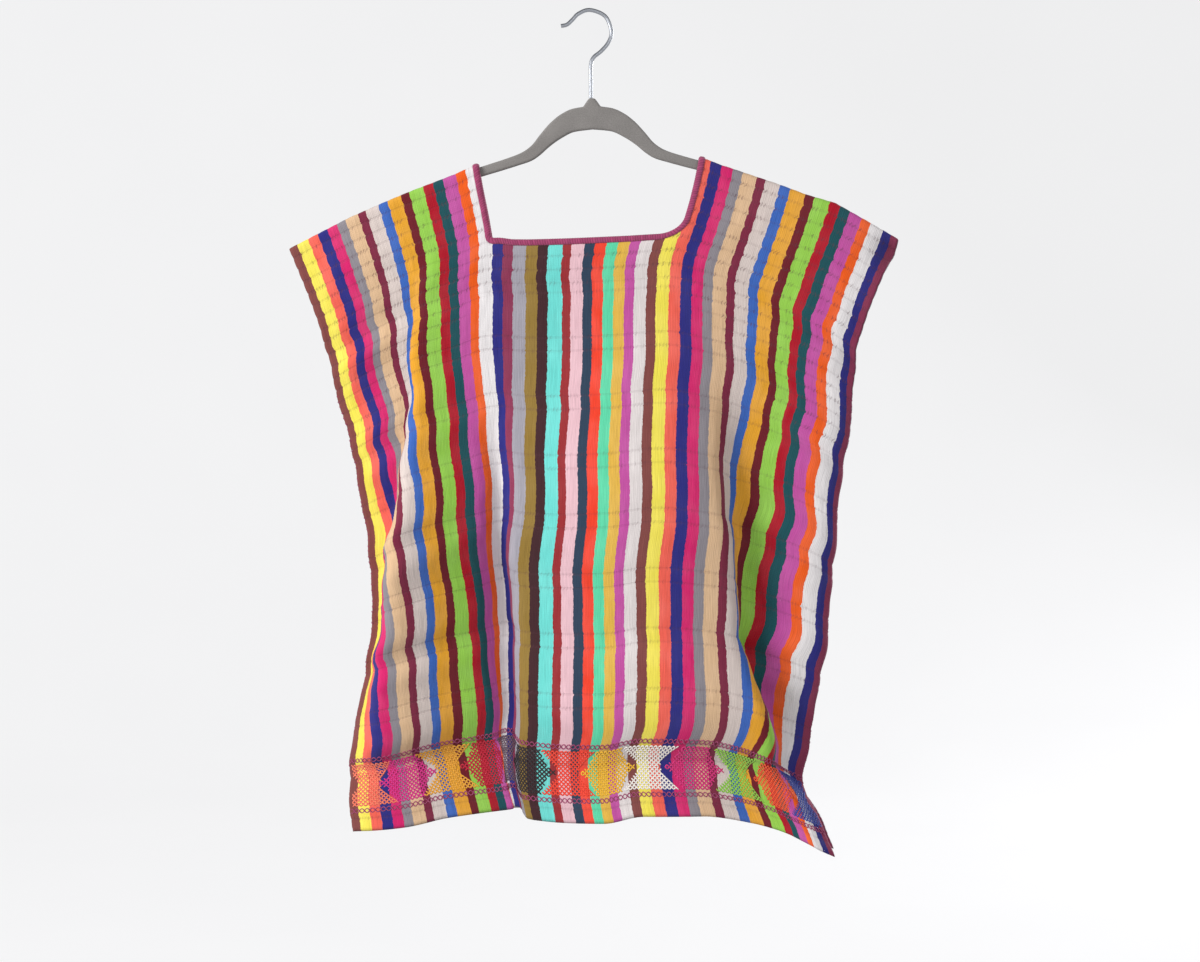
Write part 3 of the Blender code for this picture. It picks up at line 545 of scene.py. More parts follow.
def ripple(stripe, drop):
    """The cloth's shift to the back and to the right at a place of the flat sheet."""
    flat = across(stripe)
    edge = np.minimum(flat, across(STRIPES) - flat)
    share = MIDDLE_RIPPLE + (1 - MIDDLE_RIPPLE) * (1 - smooth_step(edge / SLACK_SPAN))
    share = share * smooth_step((drop - CALM_START) / CALM_DROP)
    share = share * (1 + (RIGHT_RIPPLE - 1) * smooth_step((stripe - RIGHT_START) / SIDE_EASE))
    share = share * (1 + (LEFT_RIPPLE - 1) * smooth_step((LEFT_END - stripe) / SIDE_EASE))
    share = share * (SEAM_RIPPLE + (1 - SEAM_RIPPLE) * smooth_step(edge / SEAM_STIFF))
    back_shift, right_shift = 0.0, 0.0
    for wave in RIPPLES:
        wander = sum(w.size * np.sin(stripe / w.stripes + drop / w.drop + phase)
                     for w, phase in zip(WANDERS, (wave.period, wave.start)))
        angle = 2 * pi * (drop - wave.start) / wave.period + wave.lean * wander
        back_shift = back_shift - wave.depth * puffed(wave, np.sin(angle), angle / 2)
        swing = puffed(wave, np.cos(angle), angle / 2 + PUFF_LAG)
        right_shift = right_shift + wave.depth * SIDEWAYS * swing
    return back_shift * share, right_shift * share


to_back, to_right = ripple(FINE_STRIPES[None, :], np.abs(along)[:, None])
lattice[..., 1] += to_back
lattice[..., 0] += to_right
print("ripples reach %.1f mm" % np.abs(to_back).max())

# %% [markdown]
# ## Drift of the stripes
#
# Woven stripes do not hang quite where even folds would put them. From the chest down the cloth
# lies flatter between the folds and slips deeper into them, so the stripes drift sideways within
# the hanging outline. One table says how far at five heights, and the selvedges stay where they
# are. A second one shifts the whole middle of the front a little to and fro.

# %% Drift
Drift = namedtuple("Drift", "stripe chest waist hip thigh hem")
DRIFT_DROPS = [60.0, 200.0, 330.0, 410.0, 486.0, 562.0, 655.0]
DRIFT_NAMES = [None, "chest", None, "waist", "hip", "thigh", "hem"]  # None where nothing drifts
DRIFTS = table(
    Drift, (0, 0, 0, 0, 0, 0), (2, -1, -3, -3, 0, 2), (4, -1, -4, -2, 2, 5), (7, -2, -3, -2, 3, 9),
    (9, -3, -2, -1, 4, 12), (11, -4, -2.5, -2, 5, 17), (13, -2, -3, 1, 10, 19), (15, -1, -3, 0, 9, 18),
    (17.5, -3.5, -5.5, 0, 7, 9), (20, -3.5, -9, -3.5, 4, 3), (22, -3, -9, -3, 4, 4),
    (24, -1, -8, -2, 6, 7), (27, 0, -8, -1, 8, 10), (30, 0, -9, -2, 8, 9), (33, 0, -10, -3, 8, 9),
    (36, 1.5, -9.5, -4, 10, 12), (39, 2, -9, -5, 13, 16), (42, 2, -7, -5, 11, 20),
    (45, -1, -8, -7, 4, 19), (48, -4, -5, -5, -2, 10), (50, -1, -2, -2, -2, 3), (52, 0, 0, 0, 0, 0),
)
Shift = namedtuple("Shift", "drop middle")
SHIFTS = table(
    Shift, (0, 0), (80, 0), (140, 4), (200, 4), (260, 3), (320, -1), (380, 1), (440, 0), (500, 0),
    (541, 0), (571, 4), (610, 3), (HALF_LENGTH, 0),
)
SHIFT_LEFT, SHIFT_RIGHT = 17.0, 47.0  # the middle, in stripes
EASE_LEFT, EASE_RIGHT = 9.0, 8.0  # and how far in from these it shifts in full
marks = [smooth_table(FINE_STRIPES, DRIFTS, name) if name else np.zeros(FINE) for name in DRIFT_NAMES]
on_front = slice(LATTICE_ROWS, None)
for start, stop, before, after in zip(DRIFT_DROPS, DRIFT_DROPS[1:], marks, marks[1:]):
    here = (along[on_front] > start) & (along[on_front] <= stop)
    share = smooth_step((along[on_front][here] - start) / (stop - start))[:, None]
    lattice[on_front][here, :, 0] += before + (after - before) * share
middle = smooth_step((FINE_STRIPES - SHIFT_LEFT) / EASE_LEFT)
middle *= smooth_step((SHIFT_RIGHT - FINE_STRIPES) / EASE_RIGHT)
lattice[on_front, :, 0] += smooth_table(along[on_front], SHIFTS, "middle")[:, None] * middle
print("most drift: %.0f mm" % max(np.abs(mark).max() for mark in marks))

# %% [markdown]
# ## Curled tip and open vent
#
# The right shoulder tip has curled back on itself and bulges outwards, and at the right vent the
# back panel has slipped a little past the front one. Both are small local pushes of the lattice.

# %% Local pushes
TIP_STRIPE, TIP_DROP, TIP_REACH = 52.0, 18.0, 15.0
TIP_BACK, TIP_OUT = 15.0, 5.0
VENT_SLIP, SLIP_DROP = 4.0, 45.0
SLIP_START, SLIP_SPAN = 40.0, 10.0  # in stripes
from_tip = np.hypot(FINE_ACROSS[None, :] - across(TIP_STRIPE), np.abs(along)[:, None] - TIP_DROP)
curl = bell(from_tip, TIP_REACH)
lattice[..., 1] += TIP_BACK * curl
lattice[..., 0] += TIP_OUT * curl
slip = smooth_step((-along - (HALF_LENGTH - VENT)) / SLIP_DROP)[:, None]
lattice[..., 0] += VENT_SLIP * slip * smooth_step((FINE_STRIPES - SLIP_START) / SLIP_SPAN)[None, :]
print("tip curls back %.0f mm" % TIP_BACK)

# %% [markdown]
# ## Outward directions
#
# The cross product of the two lattice directions gives the cloth's outer normal at every place.
# Threads, stitches and relief are all set off from the cloth along it.

# %% Normals, and reading the lattice
warp_step = np.gradient(lattice, axis=0)
weft_step = np.gradient(lattice, axis=1)
normals = np.cross(warp_step, weft_step)
normals /= np.linalg.norm(normals, axis=-1, keepdims=True)


def read(table, stripe, place):
    """Read a lattice table between its points, at stripe numbers and millimetres along."""
    i = np.clip(np.asarray(place, float) / ROW_MM + LATTICE_ROWS, 0, 2 * LATTICE_ROWS - TINY)
    j = np.clip(np.asarray(stripe, float) * PER_STRIPE, 0, FINE - 1 - TINY)
    i0, j0 = i.astype(int), j.astype(int)
    u, v = (i - i0)[..., None], (j - j0)[..., None]
    near = table[i0, j0] * (1 - v) + table[i0, j0 + 1] * v
    far = table[i0 + 1, j0] * (1 - v) + table[i0 + 1, j0 + 1] * v
    return near * (1 - u) + far * u


def on_cloth(stripe, place, out=0.0):
    """Points of the draped cloth in metres, set off outwards by so many millimetres."""
    out = np.asarray(out, float)[..., None]
    return (read(lattice, stripe, place) + read(normals, stripe, place) * out) * MM


print("the hem's middle faces %.2f of -Y" % -normals[-1, FINE // 2, 1])

# %% [markdown]
# ## Weft lines
#
# The cloth is warp-faced: the warp hides the weft, except where a thicker weft was laid in. There
# the cloth is drawn in to a fine line and swells between, like a quilt in miniature. Near the
# shoulders there is a line every 13.5 mm, lower down a pair of them every 58 mm.

# %% Where the weft lines are
ROW_SKIP = 3  # the cloth's mesh uses every third row of the lattice
LINE_STEP = 3 * ROW_SKIP * ROW_MM
PAIR_STEP = 13 * ROW_SKIP * ROW_MM
CLOSE_MIDDLE, CLOSE_SIDE = 125.0, 245.0  # how far down the close lines reach
MIDDLE_STRIPE = STRIPES / 2
CLOSE_FROM, CLOSE_TO = 6.4, 22.4  # stripes from the middle between which that changes
LINE_FADE = 15.0  # they fade over this much above and below
LINE_DEPTH, GROOVE_WIDTH = 0.45, 2.6
SWELL, PILLOW = 0.2, 0.28


def between(value, low, high):
    """0 at the low end, 1 at the high end, and smooth on the way."""
    return smooth_step((value - low) / (high - low))


def close_share(stripe, drop):
    """1 where the lines are close together, 0 where they come in pairs."""
    outwards = between(np.abs(stripe - MIDDLE_STRIPE), CLOSE_FROM, CLOSE_TO)
    reach = CLOSE_MIDDLE + (CLOSE_SIDE - CLOSE_MIDDLE) * outwards
    return between(reach - drop, -LINE_FADE, LINE_FADE)


def to_line(drop, step, offset=0.0):
    """Millimetres to the nearest of the lines that repeat every step."""
    return np.abs(((drop - offset) / step + 0.5) % 1.0 - 0.5) * step


def grooves(stripe, drop, width):
    """1 on the weft lines, fading to 0 beside them."""
    close = bell(to_line(drop, LINE_STEP), width)
    pair = bell(np.minimum(to_line(drop, PAIR_STEP), to_line(drop, PAIR_STEP, LINE_STEP)), width)
    share = close_share(stripe, drop)
    return share * close + (1 - share) * pair


def relief(stripe, place):
    """Height of the woven surface over its smooth middle, in millimetres."""
    drawn_in = LINE_DEPTH * grooves(stripe, np.abs(place), GROOVE_WIDTH)
    return SWELL - drawn_in + PILLOW * np.sin(pi * (stripe % 1.0)) - PILLOW / 2


print("close lines every %.1f mm, pairs every %.1f mm" % (LINE_STEP, PAIR_STEP))

# %% [markdown]
# ## Helpers for a tidy bench
#
# Blender's operators act on whatever is selected and active, and the frame arrives with its solids
# selected. So each new piece starts from an empty selection, and each finished piece has its place
# in its mesh, with the object itself at the origin.

# %% Bench helpers
def start_alone(thing=None):
    bpy.ops.object.select_all(action="DESELECT")
    if thing is not None:
        thing.select_set(True)
        bpy.context.view_layer.objects.active = thing


def apply_modifiers(thing):
    start_alone(thing)
    for name in [modifier.name for modifier in thing.modifiers]:
        bpy.ops.object.modifier_apply(modifier=name)


def triangles(thing):
    return sum(len(face.vertices) - 2 for face in thing.data.polygons)


def new_piece(name, points, faces):
    """A smooth piece from places in metres and faces."""
    mesh = bpy.data.meshes.new(name)
    mesh.from_pydata([tuple(p) for p in points], [], faces)
    mesh.polygons.foreach_set("use_smooth", [True] * len(mesh.polygons))
    thing = bpy.data.objects.new(name, mesh)
    bpy.context.scene.collection.objects.link(thing)
    return thing


def face_outwards(thing, merge=0.0):
    """Turn a closed piece's faces outwards, once points nearer than merge are one."""
    start_alone(thing)
    bpy.ops.object.mode_set(mode="EDIT")
    bpy.ops.mesh.select_all(action="SELECT")
    if merge:
        bpy.ops.mesh.remove_doubles(threshold=merge)
    bpy.ops.mesh.normals_make_consistent(inside=False)
    bpy.ops.object.mode_set(mode="OBJECT")


def add_map(thing, name, first, second):
    """A UV map from two numbers for each point of the piece."""
    layer = thing.data.uv_layers.new(name=name)
    corners = np.empty(len(thing.data.loops), int)
    thing.data.loops.foreach_get("vertex_index", corners)
    layer.data.foreach_set("uv", np.stack([first[corners], second[corners]], axis=-1).ravel())


start_alone()
print("bench is clear")

# %% [markdown]
# ## Colours by the dyer's book
#
# Yarn colours are written as the six-figure tints a dyer would note, and turned into the linear
# values that a renderer adds up. The warp repeats after 32 stripes, so 52 stripes show the whole
# order once and most of it again.

# %% Yarns
def tint(code):
    """Linear red, green, blue and alpha of a tint such as 'e03a20'."""
    parts = [int(code[i:i + 2], 16) / 255 for i in (0, 2, 4)]
    return tuple(p / 12.92 if p < 0.04045 else ((p + 0.055) / 1.055) ** 2.4 for p in parts) + (1.0,)


Stripe = namedtuple("Stripe", "code width")
WARP_ORDER = table(
    Stripe, ("824743", 0.8), ("f3e35a", 1.1), ("f4695a", 1.05), ("2f2f80", 0.95), ("d92f70", 1.05),
    ("908a90", 0.85), ("e0bb94", 1.15), ("7f2a43", 0.85), ("dacbc4", 1.15), ("4069bb", 0.95),
    ("e8a638", 1.15), ("6f1d27", 0.85), ("98cf52", 1.2), ("b01a2b", 0.9), ("1b5057", 0.85),
    ("c255a0", 1.1), ("ee6128", 0.9), ("e9e4e4", 1.2), ("2f2f80", 0.85), ("8e3856", 0.9),
    ("a5a1aa", 1.15), ("96793a", 1.0), ("43262a", 0.85), ("72dbd2", 1.2), ("9a2f33", 0.8),
    ("e6bcc4", 1.1), ("2f4156", 0.85), ("f04a36", 1.0), ("62d6a8", 1.0), ("e2b550", 0.95),
    ("c255a0", 0.9), ("dfd6d4", 1.15),
)
REPEAT = len(WARP_ORDER)
widths = np.array([stripe.width for stripe in WARP_ORDER])
STARTS = np.concatenate([[0], np.cumsum(widths)[:-1]]) / widths.sum()
# the weft's colour darkened with painted shade, for the ticks and weft lines
SHADOWED_WEFT = "5e3a44"
print("stripes in one repeat:", REPEAT)

# %% [markdown]
# ## A short hand for node trees
#
# A material is a small machine of nodes. Here each node, its settings and its wires are written on
# one line, and what comes out of a node can be added and multiplied like a number, which makes the
# math nodes. The shader's own numbers are set straight on its sockets.

# %% Recipe helper
NOISE_LOW, NOISE_HIGH = 0.3, 0.7


class Signal:
    """What comes out of a node. Sums with it are more nodes of the same recipe."""

    def __init__(self, recipe, socket):
        self.recipe, self.socket = recipe, socket

    def math(self, operation, *others):
        inputs = {"i%d" % k: value for k, value in enumerate((self,) + others)}
        return self.recipe.add("Math", settings={"operation": operation}, **inputs)

    __add__ = partialmethod(math, "ADD")
    __sub__ = partialmethod(math, "SUBTRACT")
    __mul__ = partialmethod(math, "MULTIPLY")
    __truediv__ = partialmethod(math, "DIVIDE")
    __abs__ = partialmethod(math, "ABSOLUTE")

    def between(self, low, high, at_low=0.0, at_high=1.0):
        """The signal brought from one range smoothly into another."""
        return self.recipe.add("MapRange", settings={"interpolation_type": "SMOOTHSTEP"}, Value=self,
                               From_Min=low, From_Max=high, To_Min=at_low, To_Max=at_high)

    def spread(self, darkest, lightest):
        """A noise's usual range, brought to these two values."""
        return self.between(NOISE_LOW, NOISE_HIGH, darkest, lightest)


class Recipe:
    """The node tree of one finish."""

    def __init__(self, name, **shader):
        self.material = bpy.data.materials.new(name)
        self.material.use_nodes = True
        self.tree = self.material.node_tree
        self.shader = self.tree.nodes["Principled BSDF"]
        for key, value in shader.items():
            self.shader.inputs[key.replace("_", " ")].default_value = value

    def add(self, kind, output=0, settings=None, **inputs):
        """A node, fed by values or signals, giving back one of its outputs."""
        made = self.tree.nodes.new("ShaderNode" + kind)
        for key, value in (settings or {}).items():
            setattr(made, key, value)
        for key, value in inputs.items():
            self.feed(made.inputs[int(key[1:]) if key[1:].isdigit() else key.replace("_", " ")], value)
        return Signal(self, made.outputs[output])

    def feed(self, socket, value):
        if isinstance(value, Signal):
            self.tree.links.new(value.socket, socket)
        else:
            socket.default_value = value

    def place(self):
        """Where a point is on its object."""
        return self.add("TexCoord", output=3)

    def noise(self, place, scale, detail=2.0, roughness=0.5):
        return self.add("TexNoise", Vector=place, Scale=scale, Detail=detail, Roughness=roughness)

    def grain(self, x, y, detail=2.0, roughness=0.5):
        """Noise over two numbers of the cloth's own."""
        return self.noise(self.add("CombineXYZ", X=x, Y=y, Z=0.0), 1.0, detail, roughness)

    def chance(self, dimensions, **inputs):
        """A random number that is the same all over one cell."""
        return self.add("TexWhiteNoise", settings={"noise_dimensions": dimensions}, **inputs)

    def mix(self, share, first, second):
        """One colour where the share is 0, the other where it is 1."""
        return self.add("Mix", output=2, settings={"data_type": "RGBA"}, i0=share, i6=first, i7=second)

    def shade(self, colour, value, saturation=1.0):
        """A colour made darker or lighter, greyer or stronger."""
        return self.add("HueSaturation", Hue=0.5, Saturation=saturation, Value=value, Color=colour)

    def finished(self, colour, height, distance, strength=0.5):
        """The material, once its colour and bumps are wired to the shader."""
        self.feed(self.shader.inputs["Base Color"], colour)
        bump = self.add("Bump", Height=height, Distance=distance, Strength=strength)
        self.feed(self.shader.inputs["Normal"], bump)
        return self.material


def split_uv(recipe, layer):
    """The two numbers of a UV map: for cloth, the stripe number and the millimetres along."""
    place = recipe.add("UVMap", settings={"uv_map": layer})
    made = recipe.tree.nodes.new("ShaderNodeSeparateXYZ")
    recipe.feed(made.inputs[0], place)
    return Signal(recipe, made.outputs[0]), Signal(recipe, made.outputs[1])


print("recipes ready")

# %% [markdown]
# ## The woven finish
#
# The pattern is read from the cloth's own flat measures, so it bends with the cloth. Stripe edges
# waver a little, because each thread of the warp squeezes past its neighbours at every weft line.
# Along a line the weft draws the warp apart in rows of small dark ticks, which are the weft's colour
# with painted shade, and the lines get a little painted shade too. Warp threads are streaks, with
# small changes of dye along them, and the same streaks and lines raise the bump.

# %% Woven cotton
WARP_SQUEEZE, WARP_PUFF = 0.3, 0.07  # how far stripe edges waver and puff, in stripes
LOOSE_SQUEEZE = 0.6  # the squeeze left between the weft lines
THREADS, RIBS, TICKS = 14.0, 7, 3.4  # streaks, raised ribs and places for a tick in a stripe
WAVER_PACE, STREAK_PACE, PATCH_PACE = 0.22, 0.035, 0.03  # how fast each changes along the warp
PATCHES = 0.5  # patches of dye in a stripe
LINE_WIDTH, TICK_WIDTH = 1.5, 3.2  # of a weft line and of its row of ticks
TICK_LEAN, TICK_WAVER = 0.09, 2.2  # the rows of ticks are not quite in step
TICK_CORE, TICK_EDGE = 0.08, 0.24  # a tick's half width: dark to here, gone from there
RAREST, COMMONEST, DARKEST_TICK = 0.3, 0.8, 0.4  # chances below the first leave no tick at all
LINE_SHADE = 0.1
BEAT = 1.9  # millimetres from one hidden weft to the next
STREAK_HEIGHT, RIB_HEIGHT, BEAT_HEIGHT, LINE_SINK, TICK_SINK = 0.5, 0.12, 0.08, 0.5, 0.9
WEAVE_BUMP, BUMP_STRENGTH = 0.0006, 0.55


def line_mask(drop, step, offset, width):
    """1 on lines that repeat every step of millimetres, 0 elsewhere."""
    turn = ((drop - offset) / step + 0.5).math("FRACT")
    return (abs(turn - 0.5) * step).between(width * 0.4, width, 1.0, 0.0)


def close_mask(stripe, drop):
    """1 where the weft lines are close together, 0 where they come in pairs."""
    reach = abs(stripe - MIDDLE_STRIPE).between(CLOSE_FROM, CLOSE_TO, CLOSE_MIDDLE, CLOSE_SIDE)
    return (reach - drop).between(-LINE_FADE, LINE_FADE)


def weft_lines(stripe, drop, width):
    """Close lines near the shoulders, pairs of lines lower down."""
    close = close_mask(stripe, drop)
    near = line_mask(drop, LINE_STEP, 0.0, width)
    first = line_mask(drop, PAIR_STEP, 0.0, width)
    pairs = first.math("MAXIMUM", line_mask(drop, PAIR_STEP, LINE_STEP, width))
    return drop.recipe.add("Mix", i0=close, i2=pairs, i3=near)


def warp_colour(recipe, stripe):
    """The warp order as a ramp with one hard step a stripe."""
    ramp = recipe.tree.nodes.new("ShaderNodeValToRGB")
    ramp.color_ramp.interpolation = "CONSTANT"
    stops = ramp.color_ramp.elements
    for number, (start, yarn) in enumerate(zip(STARTS, WARP_ORDER)):
        stop = stops[number] if number < 2 else stops.new(0.99)
        stop.position = start
        stop.color = tint(yarn.code)
    recipe.feed(ramp.inputs[0], (stripe / float(REPEAT)).math("FRACT"))
    return Signal(recipe, ramp.outputs[0])


def weft_ticks(recipe, stripe, place, drop, waver):
    """Ticks of weft colour in painted shade along the weft lines, some strong, some missing."""
    row = (place / LINE_STEP + 0.5).math("FLOOR")
    shift = recipe.chance("1D", W=row)
    leaning = stripe * TICKS + (place * TICK_LEAN + shift) + waver * TICK_WAVER
    cell = recipe.add("CombineXYZ", X=leaning.math("FLOOR"), Y=row, Z=0.0)
    chance = recipe.chance("2D", Vector=cell)
    beside = abs(leaning.math("FRACT") - 0.5)
    tick = beside.between(TICK_CORE, TICK_EDGE, 1.0, 0.0) * weft_lines(stripe, drop, TICK_WIDTH)
    tick = tick * chance.between(RAREST, COMMONEST, 0.0, DARKEST_TICK)
    return tick * (close_mask(stripe, drop) * 0.5 + 0.5)


def woven_cotton():
    recipe = Recipe("woven_cotton", Roughness=0.85, Sheen_Weight=0.12, Sheen_Roughness=0.5,
                    Specular_IOR_Level=0.15)
    stripe, place = split_uv(recipe, "weave")
    drop = abs(place)
    waver = recipe.grain(stripe, place * WAVER_PACE, 3.0) - 0.5
    lines = weft_lines(stripe, drop, LINE_WIDTH)
    squeeze = waver * WARP_SQUEEZE * (lines + LOOSE_SQUEEZE)
    puff = abs((drop * (pi / LINE_STEP)).math("SINE")) * close_mask(stripe, drop) * WARP_PUFF
    colour = warp_colour(recipe, stripe + (squeeze + puff))

    streak = recipe.grain(stripe * THREADS, place * STREAK_PACE, 2.0, 0.6)
    colour = recipe.shade(colour, streak.between(0.25, 0.75, 0.86, 1.1))
    patch = recipe.grain(stripe * PATCHES, place * PATCH_PACE)
    colour = recipe.shade(colour, patch.spread(1.03, 0.97), patch.spread(0.98, 1.02))
    # the ticks and the weft lines are mixed towards the weft's colour in painted shade
    tick = weft_ticks(recipe, stripe, place, drop, waver) + lines * LINE_SHADE
    colour = recipe.mix(tick, colour, tint(SHADOWED_WEFT))

    ribs = (stripe * (2 * pi * RIBS)).math("SINE")
    beat = (place * (2 * pi / BEAT)).math("SINE")
    height = streak * STREAK_HEIGHT + ribs * RIB_HEIGHT + beat * BEAT_HEIGHT
    height = height - lines * LINE_SINK - tick * TICK_SINK
    return recipe.finished(colour, height, WEAVE_BUMP, BUMP_STRENGTH)


cotton = woven_cotton()
print("nodes in the woven finish:", len(cotton.node_tree.nodes))

# %% [markdown]
# ## Cutting and draping the cloth
#
# The cloth is cut as a grid in the flat, three columns to a stripe. The neck hole is taken out
# face by face, and the ring of points left round it is eased onto the true rounded outline. Then
# every point goes to its draped place, and Solidify gives the cloth its thickness.

# %% Flat grid with its neck hole
PER_COLUMN = 3  # columns of the mesh in a stripe
FOLD_ROWS = 9  # rows each side of the fold that keep the lattice's own step


def hole_distance(flat, place, grow):
    """Signed distance to the neck hole's outline, grown outwards, negative inside the hole."""
    left, right = float(across(NECK_LEFT)) - grow, float(across(NECK_RIGHT)) + grow
    middle, half = (left + right) / 2, (right - left) / 2
    corner = np.where(flat < middle, NECK_CORNER_LEFT, NECK_CORNER_RIGHT) + grow
    past_side = np.abs(flat - middle) - (half - corner)
    past_end = np.abs(place) - (NECK_DROP + grow - corner)
    outside = np.hypot(np.maximum(past_side, 0), np.maximum(past_end, 0))
    return outside + np.minimum(np.maximum(past_side, past_end), 0) - corner


steps = list(range(FOLD_ROWS)) + list(range(FOLD_ROWS, LATTICE_ROWS + 1, ROW_SKIP))
down = ROW_MM * np.array(steps)
rows = np.concatenate([-down[:0:-1], down])
columns = np.arange(STRIPES * PER_COLUMN + 1) / PER_COLUMN
grid_stripe, grid_place = np.meshgrid(columns, rows)
flat_x, flat_y = across(grid_stripe).ravel(), grid_place.ravel()
wide = len(columns)
corner = np.arange(len(rows) - 1)[:, None] * wide + np.arange(wide - 1)[None, :]
quads = np.stack([corner, corner + 1, corner + wide + 1, corner + wide], axis=-1).reshape(-1, 4)
inside = hole_distance(flat_x[quads].mean(1), flat_y[quads].mean(1), CLOTH_TUCK) < 0
ring = np.intersect1d(quads[inside], quads[~inside])
quads = quads[~inside]
print("grid of %d columns and %d rows, %d points round the neck" % (wide, len(rows), len(ring)))

# %% Ease the neck's ring, scallop the selvedges, and drape
EASE_ROUNDS, EASE_STEP = 3, 0.1
SCALLOP, SCALLOP_WIDTH = 0.5, 3.0
AT_EDGE = 0.01  # points this near a selvedge are on it
for _ in range(EASE_ROUNDS):
    here = hole_distance(flat_x[ring], flat_y[ring], CLOTH_TUCK)
    slope_x = hole_distance(flat_x[ring] + EASE_STEP, flat_y[ring], CLOTH_TUCK) - here
    slope_y = hole_distance(flat_x[ring], flat_y[ring] + EASE_STEP, CLOTH_TUCK) - here
    size = np.maximum(np.hypot(slope_x, slope_y), TINY)
    flat_x[ring] -= here * slope_x / size
    flat_y[ring] -= here * slope_y / size

woven_x = flat_x.copy()
drawn_in = SCALLOP * grooves(stripe_at(flat_x), np.abs(flat_y), SCALLOP_WIDTH)
flat_x += np.where(woven_x < AT_EDGE, drawn_in, 0)
flat_x -= np.where(woven_x > FINE_ACROSS[-1] - AT_EDGE, drawn_in, 0)

stripe_of = stripe_at(flat_x)
points = on_cloth(stripe_of, flat_y, relief(stripe_of, flat_y))
used = np.unique(quads)
renumber = np.full(len(points), -1)
renumber[used] = np.arange(len(used))
cloth = new_piece("huipil_cloth", points[used], renumber[quads][:, ::-1].tolist())
add_map(cloth, "weave", stripe_at(woven_x[used]), flat_y[used])
wall = cloth.modifiers.new("wall", "SOLIDIFY")
wall.thickness = WALL * MM
wall.offset = 0.0
apply_modifiers(cloth)
cloth.data.materials.append(cotton)
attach(cloth, "root")
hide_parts("front_cloth", "back_cloth")
print("cloth:", triangles(cloth), "triangles")

# %% [markdown]
# ## Binding the neck
#
# A berry strip is rolled over the raw edge of the hole and wrapped round with close slanting
# stitches, so it is a round rope with the cloth's edge in its heart. Its section is swept round the
# hole in steps of 0.6 mm, and the stitches are ridges that run slantwise round it.

# %% Route of the binding
BINDING_STEP = 0.6
BEND_MARKS = 9  # marks round each corner of the hole


def hole_route(step):
    """The finished outline of the neck hole: flat places and the directions into the cloth."""
    left, right = float(across(NECK_LEFT)), float(across(NECK_RIGHT))
    bends = [
        (left, NECK_DROP, NECK_CORNER_LEFT, 180), (right, NECK_DROP, NECK_CORNER_RIGHT, 90),
        (right, -NECK_DROP, NECK_CORNER_RIGHT, 0), (left, -NECK_DROP, NECK_CORNER_LEFT, -90),
    ]
    marks = []
    for x, y, radius, start in bends:
        centre_x = x + radius * (1 if x == left else -1)
        centre_y = y - radius * (1 if y > 0 else -1)
        for degrees in np.linspace(start, start - 90, BEND_MARKS):
            facing = (cos(radians(degrees)), sin(radians(degrees)))
            marks.append((centre_x + radius * facing[0], centre_y + radius * facing[1], *facing))
    marks = np.array(marks + marks[:1])
    run = run_along(marks[:, 0], marks[:, 1])
    count = int(run[-1] / step)
    where = np.arange(count) * run[-1] / count
    return where, [np.interp(where, run, marks[:, k]) for k in range(4)]


run, (edge_x, edge_y, into_x, into_y) = hole_route(BINDING_STEP)
print("binding: %.0f mm round the neck" % (run[-1] + BINDING_STEP))

# %% Sweep the wrapped section
Corner = namedtuple("Corner", "into out ridge")
OUTER_HALF = table(
    Corner, (5.3, 0.95, 0.1), (5.1, 1.5, 0.5), (4.2, 2.1, 1), (2.9, 2.4, 1), (1.4, 2.4, 1), (0.1, 2.0, 1),
    (-0.8, 1.2, 1), (-1.2, 0.2, 1),
)
UNDER_HALF = table(
    Corner, (-0.9, -0.9, 1), (0.0, -1.7, 0.6), (1.4, -2.05, 0), (3.4, -2.05, 0), (4.8, -1.6, 0),
    (5.3, -0.95, 0), (0.4, -0.9, 0), (0.4, 0.9, 0),
)
WRAP_PITCH, WRAP_RIDGE, WRAP_SLANT = 2.4, 0.24, 1.7
RIDGE_MIDDLE = 0.6  # where on a ridge the rope has its own thickness
EDGE_INSET = 2.0  # the cloth's direction is read this far in from its edge
section = OUTER_HALF + UNDER_HALF
edge_stripe = stripe_at(edge_x + into_x * EDGE_INSET)
out_of_cloth = read(normals, edge_stripe, edge_y + into_y * EDGE_INSET)
around = np.linspace(0, 1, len(section), endpoint=False)
section_rings = []
for part, share in zip(section, around):
    slant = WRAP_SLANT * share * len(section) / len(OUTER_HALF)
    stitch = np.abs(np.sin(pi * (run / WRAP_PITCH + slant)))
    swell = WRAP_RIDGE * part.ridge * (stitch - RIDGE_MIDDLE)
    into, out = part.into - swell * (part.into < 0), part.out + swell * np.sign(part.out)
    base = read(lattice, stripe_at(edge_x + into_x * into), edge_y + into_y * into)
    section_rings.append(base + out_of_cloth * np.reshape(out, (-1, 1)))
rope = np.stack(section_rings, axis=1)


def tube_faces(count, sides, closed):
    """Quads of a tube with count rings of so many sides, outside faces outwards."""
    k = np.arange(count if closed else count - 1)[:, None]
    side = np.arange(sides)[None, :]
    after, beside = (k + 1) % count, (side + 1) % sides
    return np.stack([k * sides + side, after * sides + side, after * sides + beside,
                     k * sides + beside], axis=-1).reshape(-1, 4)


def yarn_piece(name, bundles, closed=False):
    """One piece from yarns given as rings of points. An open yarn has its ends closed."""
    points, faces, start = [], [], 0
    for rings in bundles:
        count, sides = rings.shape[:2]
        points.append(rings.reshape(-1, 3))
        faces += (tube_faces(count, sides, closed) + start).tolist()
        if not closed:
            faces.append([start + k for k in range(sides)])
            faces.append([start + (count - 1) * sides + k for k in range(sides)][::-1])
        start += count * sides
    piece = new_piece(name, np.concatenate(points), faces)
    face_outwards(piece)
    return piece


